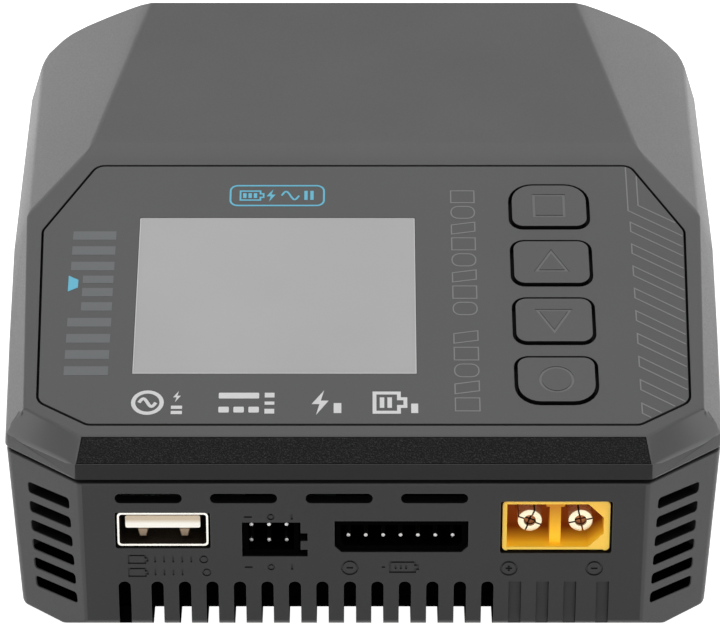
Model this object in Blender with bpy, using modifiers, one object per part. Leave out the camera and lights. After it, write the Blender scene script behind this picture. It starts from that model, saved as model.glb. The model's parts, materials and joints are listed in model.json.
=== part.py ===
"""Desktop balance charger with an AC supply: two-part case, control panel, front ports, fan and boards.

Lengths in this file are millimetres; every mesh is written in metres. The front (port) side faces -Y, +X is
to the right of someone facing the ports, +Z is up, and the feet stand on z = 0.
"""
import math

import bmesh
import bpy
import numpy as np
from mathutils import Matrix, Vector

MM = 0.001

# ---- driving dimensions ----
Y_SHIFT = 53.4          # distance from the front plane to the middle of the case
CASE_Z0 = 0.5           # underside of the case (the feet reach 0)
FRONT_Z0 = 2.8          # lower edge of the front face, above the sloped floor lip
SEAM_LOW = 26.33        # top edge of the lower case
SEAM_HIGH = 27.03       # bottom edge of the lid
WALL = 2.0
PANEL_TILT = 20.0       # slope of the control panel, degrees
PANEL_Y0 = 2.2          # front edge of the lid rim, from the front plane
PANEL_Z0 = 32.46
PANEL_SKIN = 4.2        # depth of lid material under the panel plane
PLATE_T = 1.5
POCKET = 1.9
GROOVE = 0.18           # half of the gap round the panel plate
LCD = (-33.45, 7.70, 12.2, 43.9)        # u0, u1, v0, v1 on the panel
KEY_U, KEY_W, KEY_H = 27.8, 11.2, 8.5
KEY_V = {"key_stop": 46.15, "key_up": 34.4, "key_down": 22.65, "key_enter": 10.9}
KEY_PROUD = 0.36
KEY_TRAVEL = 0.6
BOARD_Z = 12.3          # underside of the main board
BOARD_T = 1.6
REAR_Y = 107.0          # rear wall, from the front plane

PLATE_OUTLINE = [(39.5, 2.4), (46.8, 6.85), (47.85, 41.1), (40.3, 54.9)]   # half, mirrored in u


# ---- scene and helpers ----
for stale in list(bpy.data.objects):
    bpy.data.objects.remove(stale, do_unlink=True)

part = bpy.data.collections.new("balance_charger")
cutters = bpy.data.collections.new("cutters")
bpy.context.scene.collection.children.link(part)
bpy.context.scene.collection.children.link(cutters)

MATERIALS = {
    "case_plastic": ((0.075, 0.075, 0.077), 0.0, 0.55),
    "panel_plastic": ((0.11, 0.11, 0.11), 0.0, 0.5),
    "key_plastic": ((0.06, 0.06, 0.062), 0.0, 0.5),
    "display_pane": ((0.42, 0.42, 0.42), 0.0, 0.15),
    "board_laminate": ((0.02, 0.12, 0.06), 0.0, 0.5),
    "port_plastic": ((0.012, 0.012, 0.012), 0.0, 0.45),
    "plug_yellow": ((0.92, 0.56, 0.05), 0.0, 0.4),
    "pin_gold": ((0.83, 0.62, 0.25), 1.0, 0.25),
    "tin_steel": ((0.62, 0.62, 0.6), 1.0, 0.3),
    "rubber": ((0.02, 0.02, 0.02), 0.0, 0.8),
    "aluminium": ((0.6, 0.61, 0.62), 1.0, 0.4),
    "ferrite": ((0.09, 0.085, 0.08), 0.0, 0.7),
    "can_sleeve": ((0.03, 0.05, 0.14), 0.0, 0.4),
    "white_plastic": ((0.75, 0.75, 0.72), 0.0, 0.5),
}


def material(name):
    mat = bpy.data.materials.get(name)
    if mat is None:
        colour, metal, rough = MATERIALS[name]
        mat = bpy.data.materials.new(name)
        mat.use_nodes = True
        shader = mat.node_tree.nodes["Principled BSDF"]
        shader.inputs["Base Color"].default_value = (*colour, 1.0)
        shader.inputs["Metallic"].default_value = metal
        shader.inputs["Roughness"].default_value = rough
    return mat


def to_object(name, bm, mat=None, cutter=False):
    bmesh.ops.recalc_face_normals(bm, faces=bm.faces)
    mesh = bpy.data.meshes.new(name)
    bm.to_mesh(mesh)
    bm.free()
    obj = bpy.data.objects.new(name, mesh)
    (cutters if cutter else part).objects.link(obj)
    if cutter:
        obj.hide_render = True
        obj.display_type = "WIRE"
    if mat:
        obj.data.materials.append(material(mat))
    return obj


def solid(name, pieces, mat=None, cutter=False, place=None):
    """One object out of closed pieces, each a (points, faces) pair in millimetres."""
    bm = bmesh.new()
    for points, faces in pieces:
        verts = [bm.verts.new(Vector(p) * MM) for p in points]
        for face in faces:
            bm.faces.new([verts[i] for i in face])
    if place:
        bmesh.ops.transform(bm, matrix=scaled(place), verts=bm.verts)
    return to_object(name, bm, mat, cutter)


def scaled(matrix):
    moved = matrix.copy()
    moved.translation = matrix.translation * MM
    return moved


def extrusion(outline, z0, z1):
    """Closed prism over a 2-D outline."""
    n = len(outline)
    points = [(x, y, z0) for x, y in outline] + [(x, y, z1) for x, y in outline]
    faces = [list(range(n))[::-1], list(range(n, 2 * n))]
    faces += [[i, (i + 1) % n, n + (i + 1) % n, n + i] for i in range(n)]
    return points, faces


def along(piece, axis):
    """Turn a prism built on Z so that it runs along X or Y instead."""
    points, faces = piece
    if axis == "y":
        return [(x, -z, y) for x, y, z in points], faces
    return [(z, x, y) for x, y, z in points], faces


def box(x0, x1, y0, y1, z0, z1):
    return extrusion([(x0, y0), (x1, y0), (x1, y1), (x0, y1)], z0, z1)


def circle(cx, cy, r, n=24, start=0.0):
    turn = 2 * math.pi / n
    return [(cx + r * math.cos(start + turn * i), cy + r * math.sin(start + turn * i)) for i in range(n)]


def rounded(points, radii, n=3):
    """Outline with an arc of n segments at each corner of a convex polygon (radius 0 keeps it sharp)."""
    out = []
    count = len(points)
    for i, (p, r) in enumerate(zip(points, radii)):
        p = Vector(p)
        a = (Vector(points[i - 1]) - p).normalized()
        b = (Vector(points[(i + 1) % count]) - p).normalized()
        if r <= 0:
            out.append(tuple(p))
            continue
        half = a.angle(b) / 2
        middle = p + (a + b).normalized() * (r / math.sin(half))
        start = p + a * (r / math.tan(half)) - middle
        end = p + b * (r / math.tan(half)) - middle
        sweep = start.angle_signed(end)
        for k in range(n + 1):
            t = -sweep * k / n
            turned = Vector((start.x * math.cos(t) - start.y * math.sin(t),
                             start.x * math.sin(t) + start.y * math.cos(t)))
            out.append(tuple(middle + turned))
    return out


def rect(x0, x1, y0, y1, r=0.0, n=3):
    return rounded([(x0, y0), (x1, y0), (x1, y1), (x0, y1)], [r] * 4, n)


def ring_prism(outer, inner, z0, z1):
    """Closed band between two outlines with the same number of points."""
    n = len(outer)
    points = [(x, y, z) for z in (z0, z1) for loop in (outer, inner) for x, y in loop]
    faces = []
    for i in range(n):
        j = (i + 1) % n
        faces += [[j, i, n + i, n + j], [2 * n + i, 2 * n + j, 3 * n + j, 3 * n + i],
                  [i, j, 2 * n + j, 2 * n + i], [n + j, n + i, 3 * n + i, 3 * n + j]]
    return points, faces


def hull(name, points, mat=None, cutter=False):
    bm = bmesh.new()
    for p in points:
        bm.verts.new(Vector(p) * MM)
    result = bmesh.ops.convex_hull(bm, input=bm.verts)
    loose = list(set(result["geom_interior"] + result["geom_unused"]))
    bmesh.ops.delete(bm, geom=[g for g in loose if isinstance(g, bmesh.types.BMVert)], context="VERTS")
    bmesh.ops.dissolve_limit(bm, angle_limit=math.radians(0.6), verts=bm.verts, edges=bm.edges)
    return to_object(name, bm, mat, cutter)


def inset_corners(points, depth_of):
    """Corners of the convex shape whose faces lie depth_of(normal) inside the hull of the points."""
    bm = bmesh.new()
    for p in points:
        bm.verts.new(Vector(p))
    bmesh.ops.convex_hull(bm, input=bm.verts)
    bmesh.ops.dissolve_limit(bm, angle_limit=math.radians(0.6), verts=bm.verts, edges=bm.edges)
    bmesh.ops.recalc_face_normals(bm, faces=bm.faces)
    planes = []
    for face in bm.faces:
        normal = np.array(face.normal)
        planes.append((normal, float(normal @ np.array(face.calc_center_median())) - depth_of(normal)))
    bm.free()
    corners = []
    for i in range(len(planes)):
        for j in range(i + 1, len(planes)):
            for k in range(j + 1, len(planes)):
                rows = np.array([planes[i][0], planes[j][0], planes[k][0]])
                if abs(np.linalg.det(rows)) < 1e-4:
                    continue
                p = np.linalg.solve(rows, [planes[i][1], planes[j][1], planes[k][1]])
                if all(n @ p <= d + 1e-4 for n, d in planes):
                    corners.append(tuple(p))
    return corners


def boolean(obj, tool, operation="DIFFERENCE"):
    mod = obj.modifiers.new(tool.name, "BOOLEAN")
    mod.operation = operation
    mod.solver = "EXACT"
    mod.object = tool
    return mod


def bevel(obj, width, segments=2, angle=25.0):
    mod = obj.modifiers.new("edge_round", "BEVEL")
    mod.width = width * MM
    mod.segments = segments
    mod.limit_method = "ANGLE"
    mod.angle_limit = math.radians(angle)
    mod.use_clamp_overlap = True
    return mod


def yy(y):
    """Distance behind the front plane -> Y of the frame."""
    return y - Y_SHIFT


TILT = math.radians(PANEL_TILT)
PANEL = Matrix.Translation((0, yy(PANEL_Y0), PANEL_Z0)) @ Matrix.Rotation(TILT, 4, "X")


# ---- case outlines ----
def plan(front, corner, side, rear, z, radii=(3.0, 3.0, 6.0, 6.0)):
    """Plan outline of the case at a height: four corners on the right side, mirrored to the left."""
    right = [front, corner, side, rear]
    left = [(-x, y) for x, y in reversed(right)]
    outline = rounded([(x, yy(y)) for x, y in right + left], list(radii) + list(reversed(radii)))
    return [(x, y, z) for x, y in outline]


low_top = plan((40.6, -0.3), (51.65, 9.95), (53.5, 99.5), (47.6, 107.0), SEAM_LOW, radii=(2.0, 2.4, 6.0, 6.0))
low_front = [(x, yy(y), z) for x, y, z in
             [(39.9, 0.5, FRONT_Z0), (-39.9, 0.5, FRONT_Z0), (40.8, 1.0, FRONT_Z0), (-40.8, 1.0, FRONT_Z0)]]
low_base = plan((44.4, 4.2), (50.15, 9.5), (51.9, 99.0), (46.3, 105.8), CASE_Z0, radii=(0.8, 2.4, 6.0, 6.0))
LOW_POINTS = low_top + low_front + low_base

BAND_TOP = 29.5
BAND_CORNERS = [(41.0, -0.5), (51.55, 8.9)]      # front corners of the lid where its lower band ends, right side
lid_base = plan((40.95, -0.5), (51.85, 9.55), (53.9, 100.3), (48.4, 107.3), SEAM_HIGH, radii=(1.5, 2.4, 6.0, 6.0))
lid_band = [(x * s, yy(y), z) for s in (1, -1) for x, y, z in
            [(41.0, -0.5, BAND_TOP), (50.8, 8.22, BAND_TOP), (51.55, 9.7, BAND_TOP), (52.1, 27.0, 36.3), (52.45, 43.0, 42.5), (53.8, 98.0, 42.5), (53.3, 102.0, 42.5), (50.2, 105.9, 43.5),
             (47.0, 107.3, 44.5)]]
RIM = [(40.3, 2.4), (48.65, 7.45), (50.3, 44.1), (41.64, 57.2)]
lid_rim = [(x * s, yy(y), PANEL_Z0 + (y - PANEL_Y0) * math.tan(TILT)) for s in (1, -1) for x, y in RIM]
lid_top = [(x * s, yy(y), z) for s in (1, -1) for x, y, z in
           [(34.3, 104.1, 57.4), (52.0, 99.6, 48.15), (51.3, 102.8, 48.6), (49.6, 105.1, 49.6), (47.6, 106.4, 50.8),
            (44.9, 106.7, 52.1), (41.5, 106.1, 53.9), (38.0, 105.3, 55.7)]]
LID_POINTS = lid_base + lid_band + lid_rim + lid_top


def seam_line(inset):
    """Plan outline at the seam, moved inwards."""
    k = inset
    ring = plan((40.6 - 0.4 * k, -0.3 + k), (51.65 - k, 9.95 + 0.4 * k), (53.5 - k, 99.5 - 0.4 * k),
                (47.6 - 0.4 * k, 107.0 - k), 0.0, radii=(2.0, 2.4, 6.0, 6.0))
    return [(x, y) for x, y, z in ring]


# ---- lower case ----
lower = hull("lower_case", LOW_POINTS, "case_plastic")
bevel(lower, 0.7, 2, 30)


def low_depth(normal):
    return -6.0 if normal[2] > 0.9 else WALL


boolean(lower, hull("lower_room", inset_corners(LOW_POINTS, low_depth), cutter=True))

POSTS = [(s * x, yy(y)) for x, y in ((43.2, 16.5), (45.4, 90.5)) for s in (1, -1)]
posts = solid("lower_posts", [extrusion(circle(x, y, 3.4, 16), 1.4, SEAM_LOW) for x, y in POSTS], cutter=True)
boolean(lower, posts, "UNION")

lip = ring_prism(seam_line(1.15), seam_line(2.05), 24.5, 28.7)
boolean(lower, solid("seam_lip", [lip], cutter=True), "UNION")

STANDS = [(s * 34.0, yy(y)) for y in (12.0, 56.0) for s in (1, -1)] + [(8.0, yy(66.0)), (36.0, yy(88.0))]
stands = solid("board_stands", [extrusion(circle(x, y, 2.2, 10), 1.4, BOARD_Z - 0.1) for x, y in STANDS],
               cutter=True)
boolean(lower, stands, "UNION")

screw_way = []
for x, y in POSTS:
    screw_way.append(extrusion(circle(x, y, 1.45, 12), -1.0, SEAM_LOW + 1))
boolean(lower, solid("screw_way", screw_way, cutter=True))
boolean(lower, solid("screw_seat", [extrusion(circle(x, y, 2.6, 14), -1.0, 5.0) for x, y in POSTS],
                     cutter=True))

FEET = [(s * x, yy(y)) for x, y in ((36.5, 14.5), (38.5, 93.5)) for s in (1, -1)]
boolean(lower, solid("foot_seats", [extrusion(circle(x, y, 4.3, 16), -1.0, CASE_Z0 + 0.9) for x, y in FEET],
                     cutter=True))


def front_cut(outline, y0=-3.0, y1=5.0):
    """Cutter through the front wall over an x-z outline."""
    return [(x, yy(y), z) for y in (y0, y1) for x, z in outline], extrusion(outline, 0, 1)[1]


OUT_XT = (19.89, 35.29, 14.92, 22.95)
USB = (-35.32, -22.28, 15.74, 21.13)
HEAD = (-17.3, -9.2, 14.23, 19.64)
BAL = (-4.08, 14.9, 14.9, 19.9)


def grown(frame, g):
    return rect(frame[0] - g, frame[1] + g, frame[2] - g, frame[3] + g, 0.4, 2)


ports = [front_cut(grown(f, 0.3)) for f in (OUT_XT, USB, HEAD, BAL)]
for x0 in (-35.55, -21.95, -8.3, 5.3):
    ports.append(front_cut(rect(x0, x0 + 9.6, 23.02, 24.6, 0.78, 3)))
boolean(lower, solid("front_ports", ports, cutter=True))

SLOT_W = 1.75
slot_x = [-34.5] + [3.97 * (i - 7.5) for i in range(16)] + [34.5]
through, blind = [], []
for i, x in enumerate(slot_x):
    half = SLOT_W / 2
    if i < 14:
        arch = [(x - half, -2.0), (x + half, -2.0), (x + half, 8.95), (x + 0.6, 9.6), (x, 9.8), (x - 0.6, 9.6),
                (x - half, 8.95)]
        through.append(front_cut(arch, -3.0, 9.9 if i else 3.0))
    else:
        square = [(x - half, -2.0), (x + half, -2.0), (x + half, 9.8), (x - half, 9.8)]
        blind.append(front_cut(square, -3.0, 0.95))
boolean(lower, solid("floor_slots", through, cutter=True))
boolean(lower, solid("blind_slots", blind, cutter=True))

corner_slots = []
for s in (1, -1):
    for i in range(6):
        z = 21.84 - 3.138 * i
        middle = Vector((s * (45.3 - 0.13 * i), yy(4.3 + 0.016 * i), z))
        turn = Matrix.Rotation(math.radians(42.6 * s), 4, "Z") @ Matrix.Rotation(math.radians(3.0 * s), 4, "Y")
        bar = along(extrusion(rect(-4.3, 4.3, -0.87, 0.87, 0.5, 2), -4.0, 4.0), "y")
        place = Matrix.Translation(middle) @ turn
        corner_slots.append(([tuple(place @ Vector(p)) for p in bar[0]], bar[1]))
boolean(lower, solid("corner_slots", corner_slots, cutter=True))

# opening for the rear plate, shared by both halves of the case
REAR_W, REAR_Z0, REAR_Z1 = 41.5, 5.0, 45.0
rear_opening = solid("rear_opening", [box(-REAR_W, REAR_W, yy(103.0), yy(112.0), REAR_Z0, REAR_Z1)], cutter=True)
boolean(lower, rear_opening)


# ---- lid ----
def corner_facet(s, n=6, m=3):
    """Everything outside the twisted facet between the band corner and the rim corner."""
    low = [Vector((x, yy(y), BAND_TOP)) for x, y in BAND_CORNERS]
    high = [Vector((x, yy(y), PANEL_Z0 + (y - PANEL_Y0) * math.tan(TILT))) for x, y in RIM[:2]]
    away = Vector((0.465, -0.711, 0.42))
    points = []
    for lift in (-0.03, 3.0):
        for i in range(n + 1):
            for j in range(m + 1):
                a, b = -0.05 + 1.1 * i / n, -0.1 + 1.2 * j / m
                p = low[0].lerp(low[1], a).lerp(high[0].lerp(high[1], a), b) + away * lift
                points.append((s * p.x, p.y, p.z))
    row, layer = m + 1, (n + 1) * (m + 1)
    faces = []
    for base in (0, layer):
        for i in range(n):
            for j in range(m):
                a = base + i * row + j
                faces += [[a, a + row, a + row + 1], [a, a + row + 1, a + 1]]
    border = ([i * row for i in range(n + 1)] + [n * row + j for j in range(1, m + 1)]
              + [i * row + m for i in range(n - 1, -1, -1)] + [j for j in range(m - 1, 0, -1)])
    for a, b in zip(border, border[1:] + border[:1]):
        faces += [[a, b, b + layer], [a, b + layer, a + layer]]
    return points, faces


upper = hull("upper_case", LID_POINTS, "case_plastic")
for s in (1, -1):
    boolean(upper, solid(f"corner_facet_{s}", [corner_facet(s)], cutter=True))
bevel(upper, 0.6, 2, 30)
PANEL_NORMAL = np.array((0.0, -math.sin(TILT), math.cos(TILT)))


def lid_depth(normal):
    if normal[2] < -0.9:
        return -6.0
    return PANEL_SKIN if float(normal @ PANEL_NORMAL) > 0.999 else WALL


boolean(upper, hull("upper_room", inset_corners(LID_POINTS, lid_depth), cutter=True))

rebate = ring_prism(seam_line(0.9), seam_line(2.6), 26.0, 28.9)
boolean(upper, solid("seam_rebate", [rebate], cutter=True))
upper_posts = [extrusion(circle(x, y, 3.0, 16), SEAM_HIGH, 34.0 if y < 0 else 48.9) for x, y in POSTS]
boolean(upper, solid("upper_posts", upper_posts, cutter=True), "UNION")
boolean(upper, solid("upper_pilots", [extrusion(circle(x, y, 1.45, 12), 26.0, 33.0) for x, y in POSTS],
                     cutter=True))


def plate_outline(grow, n=4):
    """Panel plate outline, each side moved out by grow."""
    right = PLATE_OUTLINE
    pts = right + [(-u, v) for u, v in reversed(right)]
    count = len(pts)
    moved = []
    for i in range(count):
        p, a, b = Vector(pts[i]), Vector(pts[i - 1]), Vector(pts[(i + 1) % count])
        d1, d2 = (p - a).normalized(), (b - p).normalized()
        n1, n2 = Vector((d1.y, -d1.x)), Vector((d2.y, -d2.x))
        moved.append(tuple(p + (n1 + n2) * (grow / (1 + n1.dot(n2)))))
    return rounded(moved, [2.0 + grow] * count, n)


pocket = solid("panel_pocket", [extrusion(plate_outline(GROOVE), -POCKET, 6.0)], cutter=True, place=PANEL)
boolean(upper, pocket)
u0, u1, v0, v1 = LCD
windows = [extrusion(rect(u0 - 3.4, u1 + 3.4, v0 - 3.0, v1 + 3.0, 1.0, 2), -6.0, 0.5),
           extrusion(rect(KEY_U - 7.2, KEY_U + 7.2, KEY_V["key_enter"] - 6.2, KEY_V["key_stop"] + 6.2, 1.5, 2),
                     -6.0, 0.5)]
boolean(upper, solid("panel_windows", windows, cutter=True, place=PANEL))
boolean(upper, rear_opening)

# coarse dark strip along the lid's front chamfer, in a shallow seat
CHAMFER = Matrix.Translation((0, yy(-0.5), BAND_TOP)) @ Matrix.Rotation(math.atan2(3.03, 2.9), 4, "X")


def strip_outline(g):
    return [(-40.75 - g, 0.16 - g), (40.75 + g, 0.16 - g), (40.05 + g, 3.98 + g), (-40.05 - g, 3.98 + g)]


boolean(upper, solid("strip_seat", [extrusion(strip_outline(0.1), -0.8, 2.0)], cutter=True, place=CHAMFER))
solid("front_strip", [extrusion(strip_outline(0.0), -0.75, 0.0)], "port_plastic", place=CHAMFER)


# ---- control panel ----
plate = solid("control_panel", [extrusion(plate_outline(-GROOVE), -PLATE_T, 0.0)], "panel_plastic", place=PANEL)
plate_cuts = [extrusion(rect(u0, u1, v0, v1, 0.6, 2), -4.0, 2.0)]
KEY_GAP = 0.3


def key_outline(name, grow=0.0, n=3):
    v = KEY_V[name]
    w, h = KEY_W / 2 + grow, KEY_H / 2 + grow
    radii = [1.6, 1.6, 1.6, 1.6]
    if name == "key_stop":
        radii = [1.6, 1.6, 3.2, 3.2]
    if name == "key_enter":
        radii = [3.2, 3.2, 1.6, 1.6]
    corners = [(KEY_U - w, v - h), (KEY_U + w, v - h), (KEY_U + w, v + h), (KEY_U - w, v + h)]
    return rounded(corners, [r + grow for r in radii], n)


plate_cuts += [extrusion(key_outline(k, KEY_GAP), -4.0, 2.0) for k in KEY_V]
boolean(plate, solid("plate_cuts", plate_cuts, cutter=True, place=PANEL))

solid("lcd_pane", [extrusion(rect(u0 + 0.12, u1 - 0.12, v0 + 0.12, v1 - 0.12, 0.5, 2), -1.4, -0.1)],
      "display_pane", place=PANEL)
solid("lcd_module", [extrusion(rect(u0 - 3.0, u1 + 3.0, v0 - 2.6, v1 + 2.6, 0.8, 2), -5.4, -1.8)],
      "tin_steel", place=PANEL)


def key(name):
    v = KEY_V[name]
    cap = extrusion(key_outline(name), -1.9, KEY_PROUD)
    flange = extrusion(rect(KEY_U - 6.4, KEY_U + 6.4, v - 5.05, v + 5.05, 0.8, 1), -3.0, -1.85)
    stem = extrusion(circle(KEY_U, v, 1.5, 10), -4.3, -2.9)
    obj = solid(name, [cap], "key_plastic", place=PANEL)
    bevel(obj, 0.3, 2, 60)
    boolean(obj, solid(name + "_flange", [flange], cutter=True, place=PANEL), "UNION")
    boolean(obj, solid(name + "_stem", [stem], cutter=True, place=PANEL), "UNION")
    return obj


for number, name in enumerate(KEY_V, 1):
    v = KEY_V[name]
    key(name)
    switch = solid(f"switch_{number}", [extrusion(rect(KEY_U - 3, KEY_U + 3, v - 3, v + 3, 0.4, 1), -7.4, -5.7)],
                   "port_plastic", place=PANEL)
    boolean(switch, solid(f"switch_{number}_plunger", [extrusion(circle(KEY_U, v, 1.6, 10), -6.0, -5.0)],
                          cutter=True, place=PANEL), "UNION")

solid("panel_board", [extrusion(rect(-37.5, 38.0, 7.5, 52.0, 1.0, 2), -8.8, -7.6)], "board_laminate", place=PANEL)


# ---- front ports ----
def front_block(frame, r, y0, y1):
    return [(x, yy(y), z) for y in (y0, y1) for x, z in rect(*frame, r, 2)], \
        extrusion(rect(*frame, r, 2), 0, 1)[1]


def plug_outline(frame, inset=0.0):
    """Plug shape: square on one side, two sloped corners on the other."""
    x0, x1, z0, z1 = frame
    x0, x1, z0, z1 = x0 + inset, x1 - inset, z0 + inset, z1 - inset
    cut = 2.6 - inset * 0.5
    return [(x0, z0), (x1 - cut, z0), (x1, z0 + cut), (x1, z1 - cut), (x1 - cut, z1), (x0, z1)]


def plug(name, frame, pins, mouth, deep, face, toward):
    """Plug housing with two round wells, plus its two metal pins; toward is -1 for a front mouth."""
    outer = rect(*frame, 0.6, 2)
    body = solid(name, [([(x, yy(y), z) for y in (face, deep) for x, z in outer], extrusion(outer, 0, 1)[1])],
                 "plug_yellow")
    well = plug_outline(frame, 1.3)
    boolean(body, solid(name + "_mouth", [([(x, yy(y), z) for y in (face + toward, mouth) for x, z in well],
                                           extrusion(well, 0, 1)[1])], cutter=True))
    zc = (frame[2] + frame[3]) / 2
    ways = []
    for x in pins:
        ring = circle(x, zc, 2.1, 16)
        ways.append(([(a, yy(y), b) for y in (mouth + toward, deep - toward) for a, b in ring],
                     extrusion(ring, 0, 1)[1]))
    boolean(body, solid(name + "_ways", ways, cutter=True))
    for sign, x in zip(("neg", "pos"), pins):
        ring = circle(x, zc, 1.75, 16)
        tip = face - toward * 1.6
        tail = deep - toward * 2.0
        pin = solid(f"{name}_{sign}", [([(a, yy(y), b) for y in (tip, tail) for a, b in ring],
                                        extrusion(ring, 0, 1)[1])], "pin_gold")
        bore = circle(x, zc, 1.1, 12)
        boolean(pin, solid(f"{name}_{sign}_bore", [([(a, yy(y), b) for y in (tip + toward, tip - toward * 5)
                                                      for a, b in bore], extrusion(bore, 0, 1)[1])], cutter=True))
        slit = box(x - 0.3, x + 0.3, *sorted((yy(tip + toward), yy(tip - toward * 4))), zc - 2.5, zc + 2.5)
        boolean(pin, solid(f"{name}_{sign}_slit", [slit], cutter=True))


plug("output_plug", OUT_XT, (23.86, 31.17), 8.5, 15.0, 0.45, -1)

usb = solid("usb_shell", [front_block(USB, 0.5, 0.35, 14.0)], "tin_steel")
boolean(usb, solid("usb_inside", [front_block((USB[0] + 0.45, USB[1] - 0.45, USB[2] + 0.45, USB[3] - 0.45), 0.3,
                                              -2.0, 13.4)], cutter=True))
solid("usb_tongue", [front_block((USB[0] + 1.15, USB[1] - 1.15, 18.5, 20.5), 0.2, 0.75, 13.0)], "white_plastic")


def pin_port(name, frame, columns, rows, mouth_r, depth, pin_tip, notch=0.0):
    """Pin header in an open box; pins stand on the box's back wall, one body with it.

    notch: how far the box's top wall is cut back from its front.
    """
    x0, x1, z0, z1 = frame
    body = solid(name, [front_block(frame, 0.3, 0.15, 12.0)], "port_plastic")
    inner = (x0 + 0.75, x1 - 0.75, z0 + 0.6, z1 - 0.6)
    boolean(body, solid(name + "_mouth", [front_block(inner, mouth_r, -2.0, depth)], cutter=True))
    if notch:
        top_wall = (inner[0], inner[1], inner[3] - 0.8, z1 + 1.0)
        boolean(body, solid(name + "_notch", [front_block(top_wall, 0.0, -2.0, notch)], cutter=True))
    pins = [box(x - 0.32, x + 0.32, yy(pin_tip), yy(depth + 1.0), z - 0.32, z + 0.32) for x in columns for z in rows]
    boolean(body, solid(name + "_pins", pins, cutter=True), "UNION")


pin_port("signal_header", HEAD, (-16.16, -13.62, -11.08), (15.64, 18.18), 0.2, 8.0, 2.2, 2.8)
pin_port("balance_port", BAL, [-2.2 + 2.5 * i for i in range(7)], (16.65,), 0.2, 8.0, 1.8)


# ---- boards and parts on them ----
TOP = BOARD_Z + BOARD_T + 0.1
solid("main_board", [extrusion(rect(-38.0, 38.0, yy(3.2), yy(60.0), 1.0, 2), BOARD_Z, BOARD_Z + BOARD_T)],
      "board_laminate")
solid("supply_board", [extrusion(rect(3.0, 41.0, yy(62.0), yy(92.5), 1.0, 2), BOARD_Z, BOARD_Z + BOARD_T)],
      "board_laminate")

sink = solid("heatsink", [box(-19, 15, yy(24), yy(52), TOP, 28.0)], "aluminium")
fins = [box(-16.6 + 4.2 * i, -14.0 + 4.2 * i, yy(23), yy(53), TOP + 3.0, 29.0) for i in range(7)]
boolean(sink, solid("fin_gaps", fins, cutter=True))

core = solid("transformer", [box(9, 33, yy(66), yy(88), TOP, 36.0)], "ferrite")
boolean(core, solid("core_window", [box(5, 13.5, yy(68), yy(86), TOP + 4, 32.5),
                                    box(28.5, 37, yy(68), yy(86), TOP + 4, 32.5)], cutter=True))


def ring_coil(name, x, y, r, hole, tall):
    obj = solid(name, [extrusion(circle(x, yy(y), r, 24), TOP, TOP + tall)], "ferrite")
    bevel(obj, 1.2, 2, 40)
    boolean(obj, solid(name + "_hole", [extrusion(circle(x, yy(y), hole, 16), 5, 40)], cutter=True))


ring_coil("inductor_1", 26.5, 30, 7.5, 3.2, 8.0)
ring_coil("inductor_2", 26.5, 48, 7.5, 3.2, 8.0)


def can(name, x, y, r, tall):
    obj = solid(name, [extrusion(circle(x, yy(y), r, 20), TOP, TOP + tall)], "can_sleeve")
    bevel(obj, 0.6, 2, 60)


can("capacitor_1", -29.0, 28, 5.0, 12.5)
can("capacitor_2", -29.0, 40, 5.0, 12.5)
can("capacitor_3", -29.0, 52, 5.0, 12.5)
can("capacitor_4", 37.0, 72, 3.6, 20.0)
can("buzzer", 14.0, 18.5, 4.6, 5.0)
fuse = solid("fuse", [box(35.2, 39.6, yy(80), yy(90), TOP, TOP + 6)], "white_plastic")
bevel(fuse, 0.4, 1, 60)


# ---- rear plate, fan and inlets ----
g = 0.3
rear = solid("rear_plate", [box(-REAR_W + g, REAR_W - g, yy(103.6), yy(105.4), REAR_Z0 + g, REAR_Z1 - g)],
             "port_plastic")
FAN_X, FAN_Z, FAN = -19.5, 25.0, 40.0
rear_cuts = []
for i in range(-4, 5):
    x = FAN_X + 4.0 * i
    reach = math.sqrt(18.4 ** 2 - (4.0 * i) ** 2) - 1.0
    outline = rect(x - 1.2, x + 1.2, FAN_Z - reach, FAN_Z + reach, 1.15, 3)
    rear_cuts.append(([(a, yy(y), b) for y in (102, 109) for a, b in outline], extrusion(outline, 0, 1)[1]))
FAN_HOLES = [(FAN_X + sx * 16, FAN_Z + sz * 16) for sx in (1, -1) for sz in (1, -1)]
for x, z in FAN_HOLES:
    outline = circle(x, z, 1.8, 12)
    rear_cuts.append(([(a, yy(y), b) for y in (102, 109) for a, b in outline], extrusion(outline, 0, 1)[1]))
IN_XT = (12.6, 28.18, 14.6, 22.77)
AC = (10.4, 30.4, 28.0, 40.0)
for frame, r in ((IN_XT, 0.8), (AC, 3.0)):
    outline = rect(frame[0] - g, frame[1] + g, frame[2] - g, frame[3] + g, r + g, 3)
    rear_cuts.append(([(a, yy(y), b) for y in (102, 109) for a, b in outline], extrusion(outline, 0, 1)[1]))
boolean(rear, solid("rear_cuts", rear_cuts, cutter=True))

frame_body = solid("fan_frame", [box(FAN_X - 20, FAN_X + 20, yy(93.3), yy(103.3), FAN_Z - 20, FAN_Z + 20)],
                   "port_plastic")
duct = circle(FAN_X, FAN_Z, 18.9, 32)
boolean(frame_body, solid("fan_duct", [([(a, yy(y), b) for y in (90, 106) for a, b in duct],
                                        extrusion(duct, 0, 1)[1])], cutter=True))
struts = (box(FAN_X - 19.5, FAN_X + 19.5, yy(93.3), yy(94.8), FAN_Z - 1.2, FAN_Z + 1.2),
          box(FAN_X - 1.2, FAN_X + 1.2, yy(93.3), yy(94.8), FAN_Z - 19.5, FAN_Z + 19.5))
for number, strut in enumerate(struts):
    boolean(frame_body, solid(f"fan_strut_{number}", [strut], cutter=True), "UNION")
seat_ring = circle(FAN_X, FAN_Z, 9.5, 20)
boolean(frame_body, solid("fan_seat", [([(a, yy(y), b) for y in (93.3, 94.8) for a, b in seat_ring],
                                        extrusion(seat_ring, 0, 1)[1])], cutter=True), "UNION")
holes = []
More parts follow.
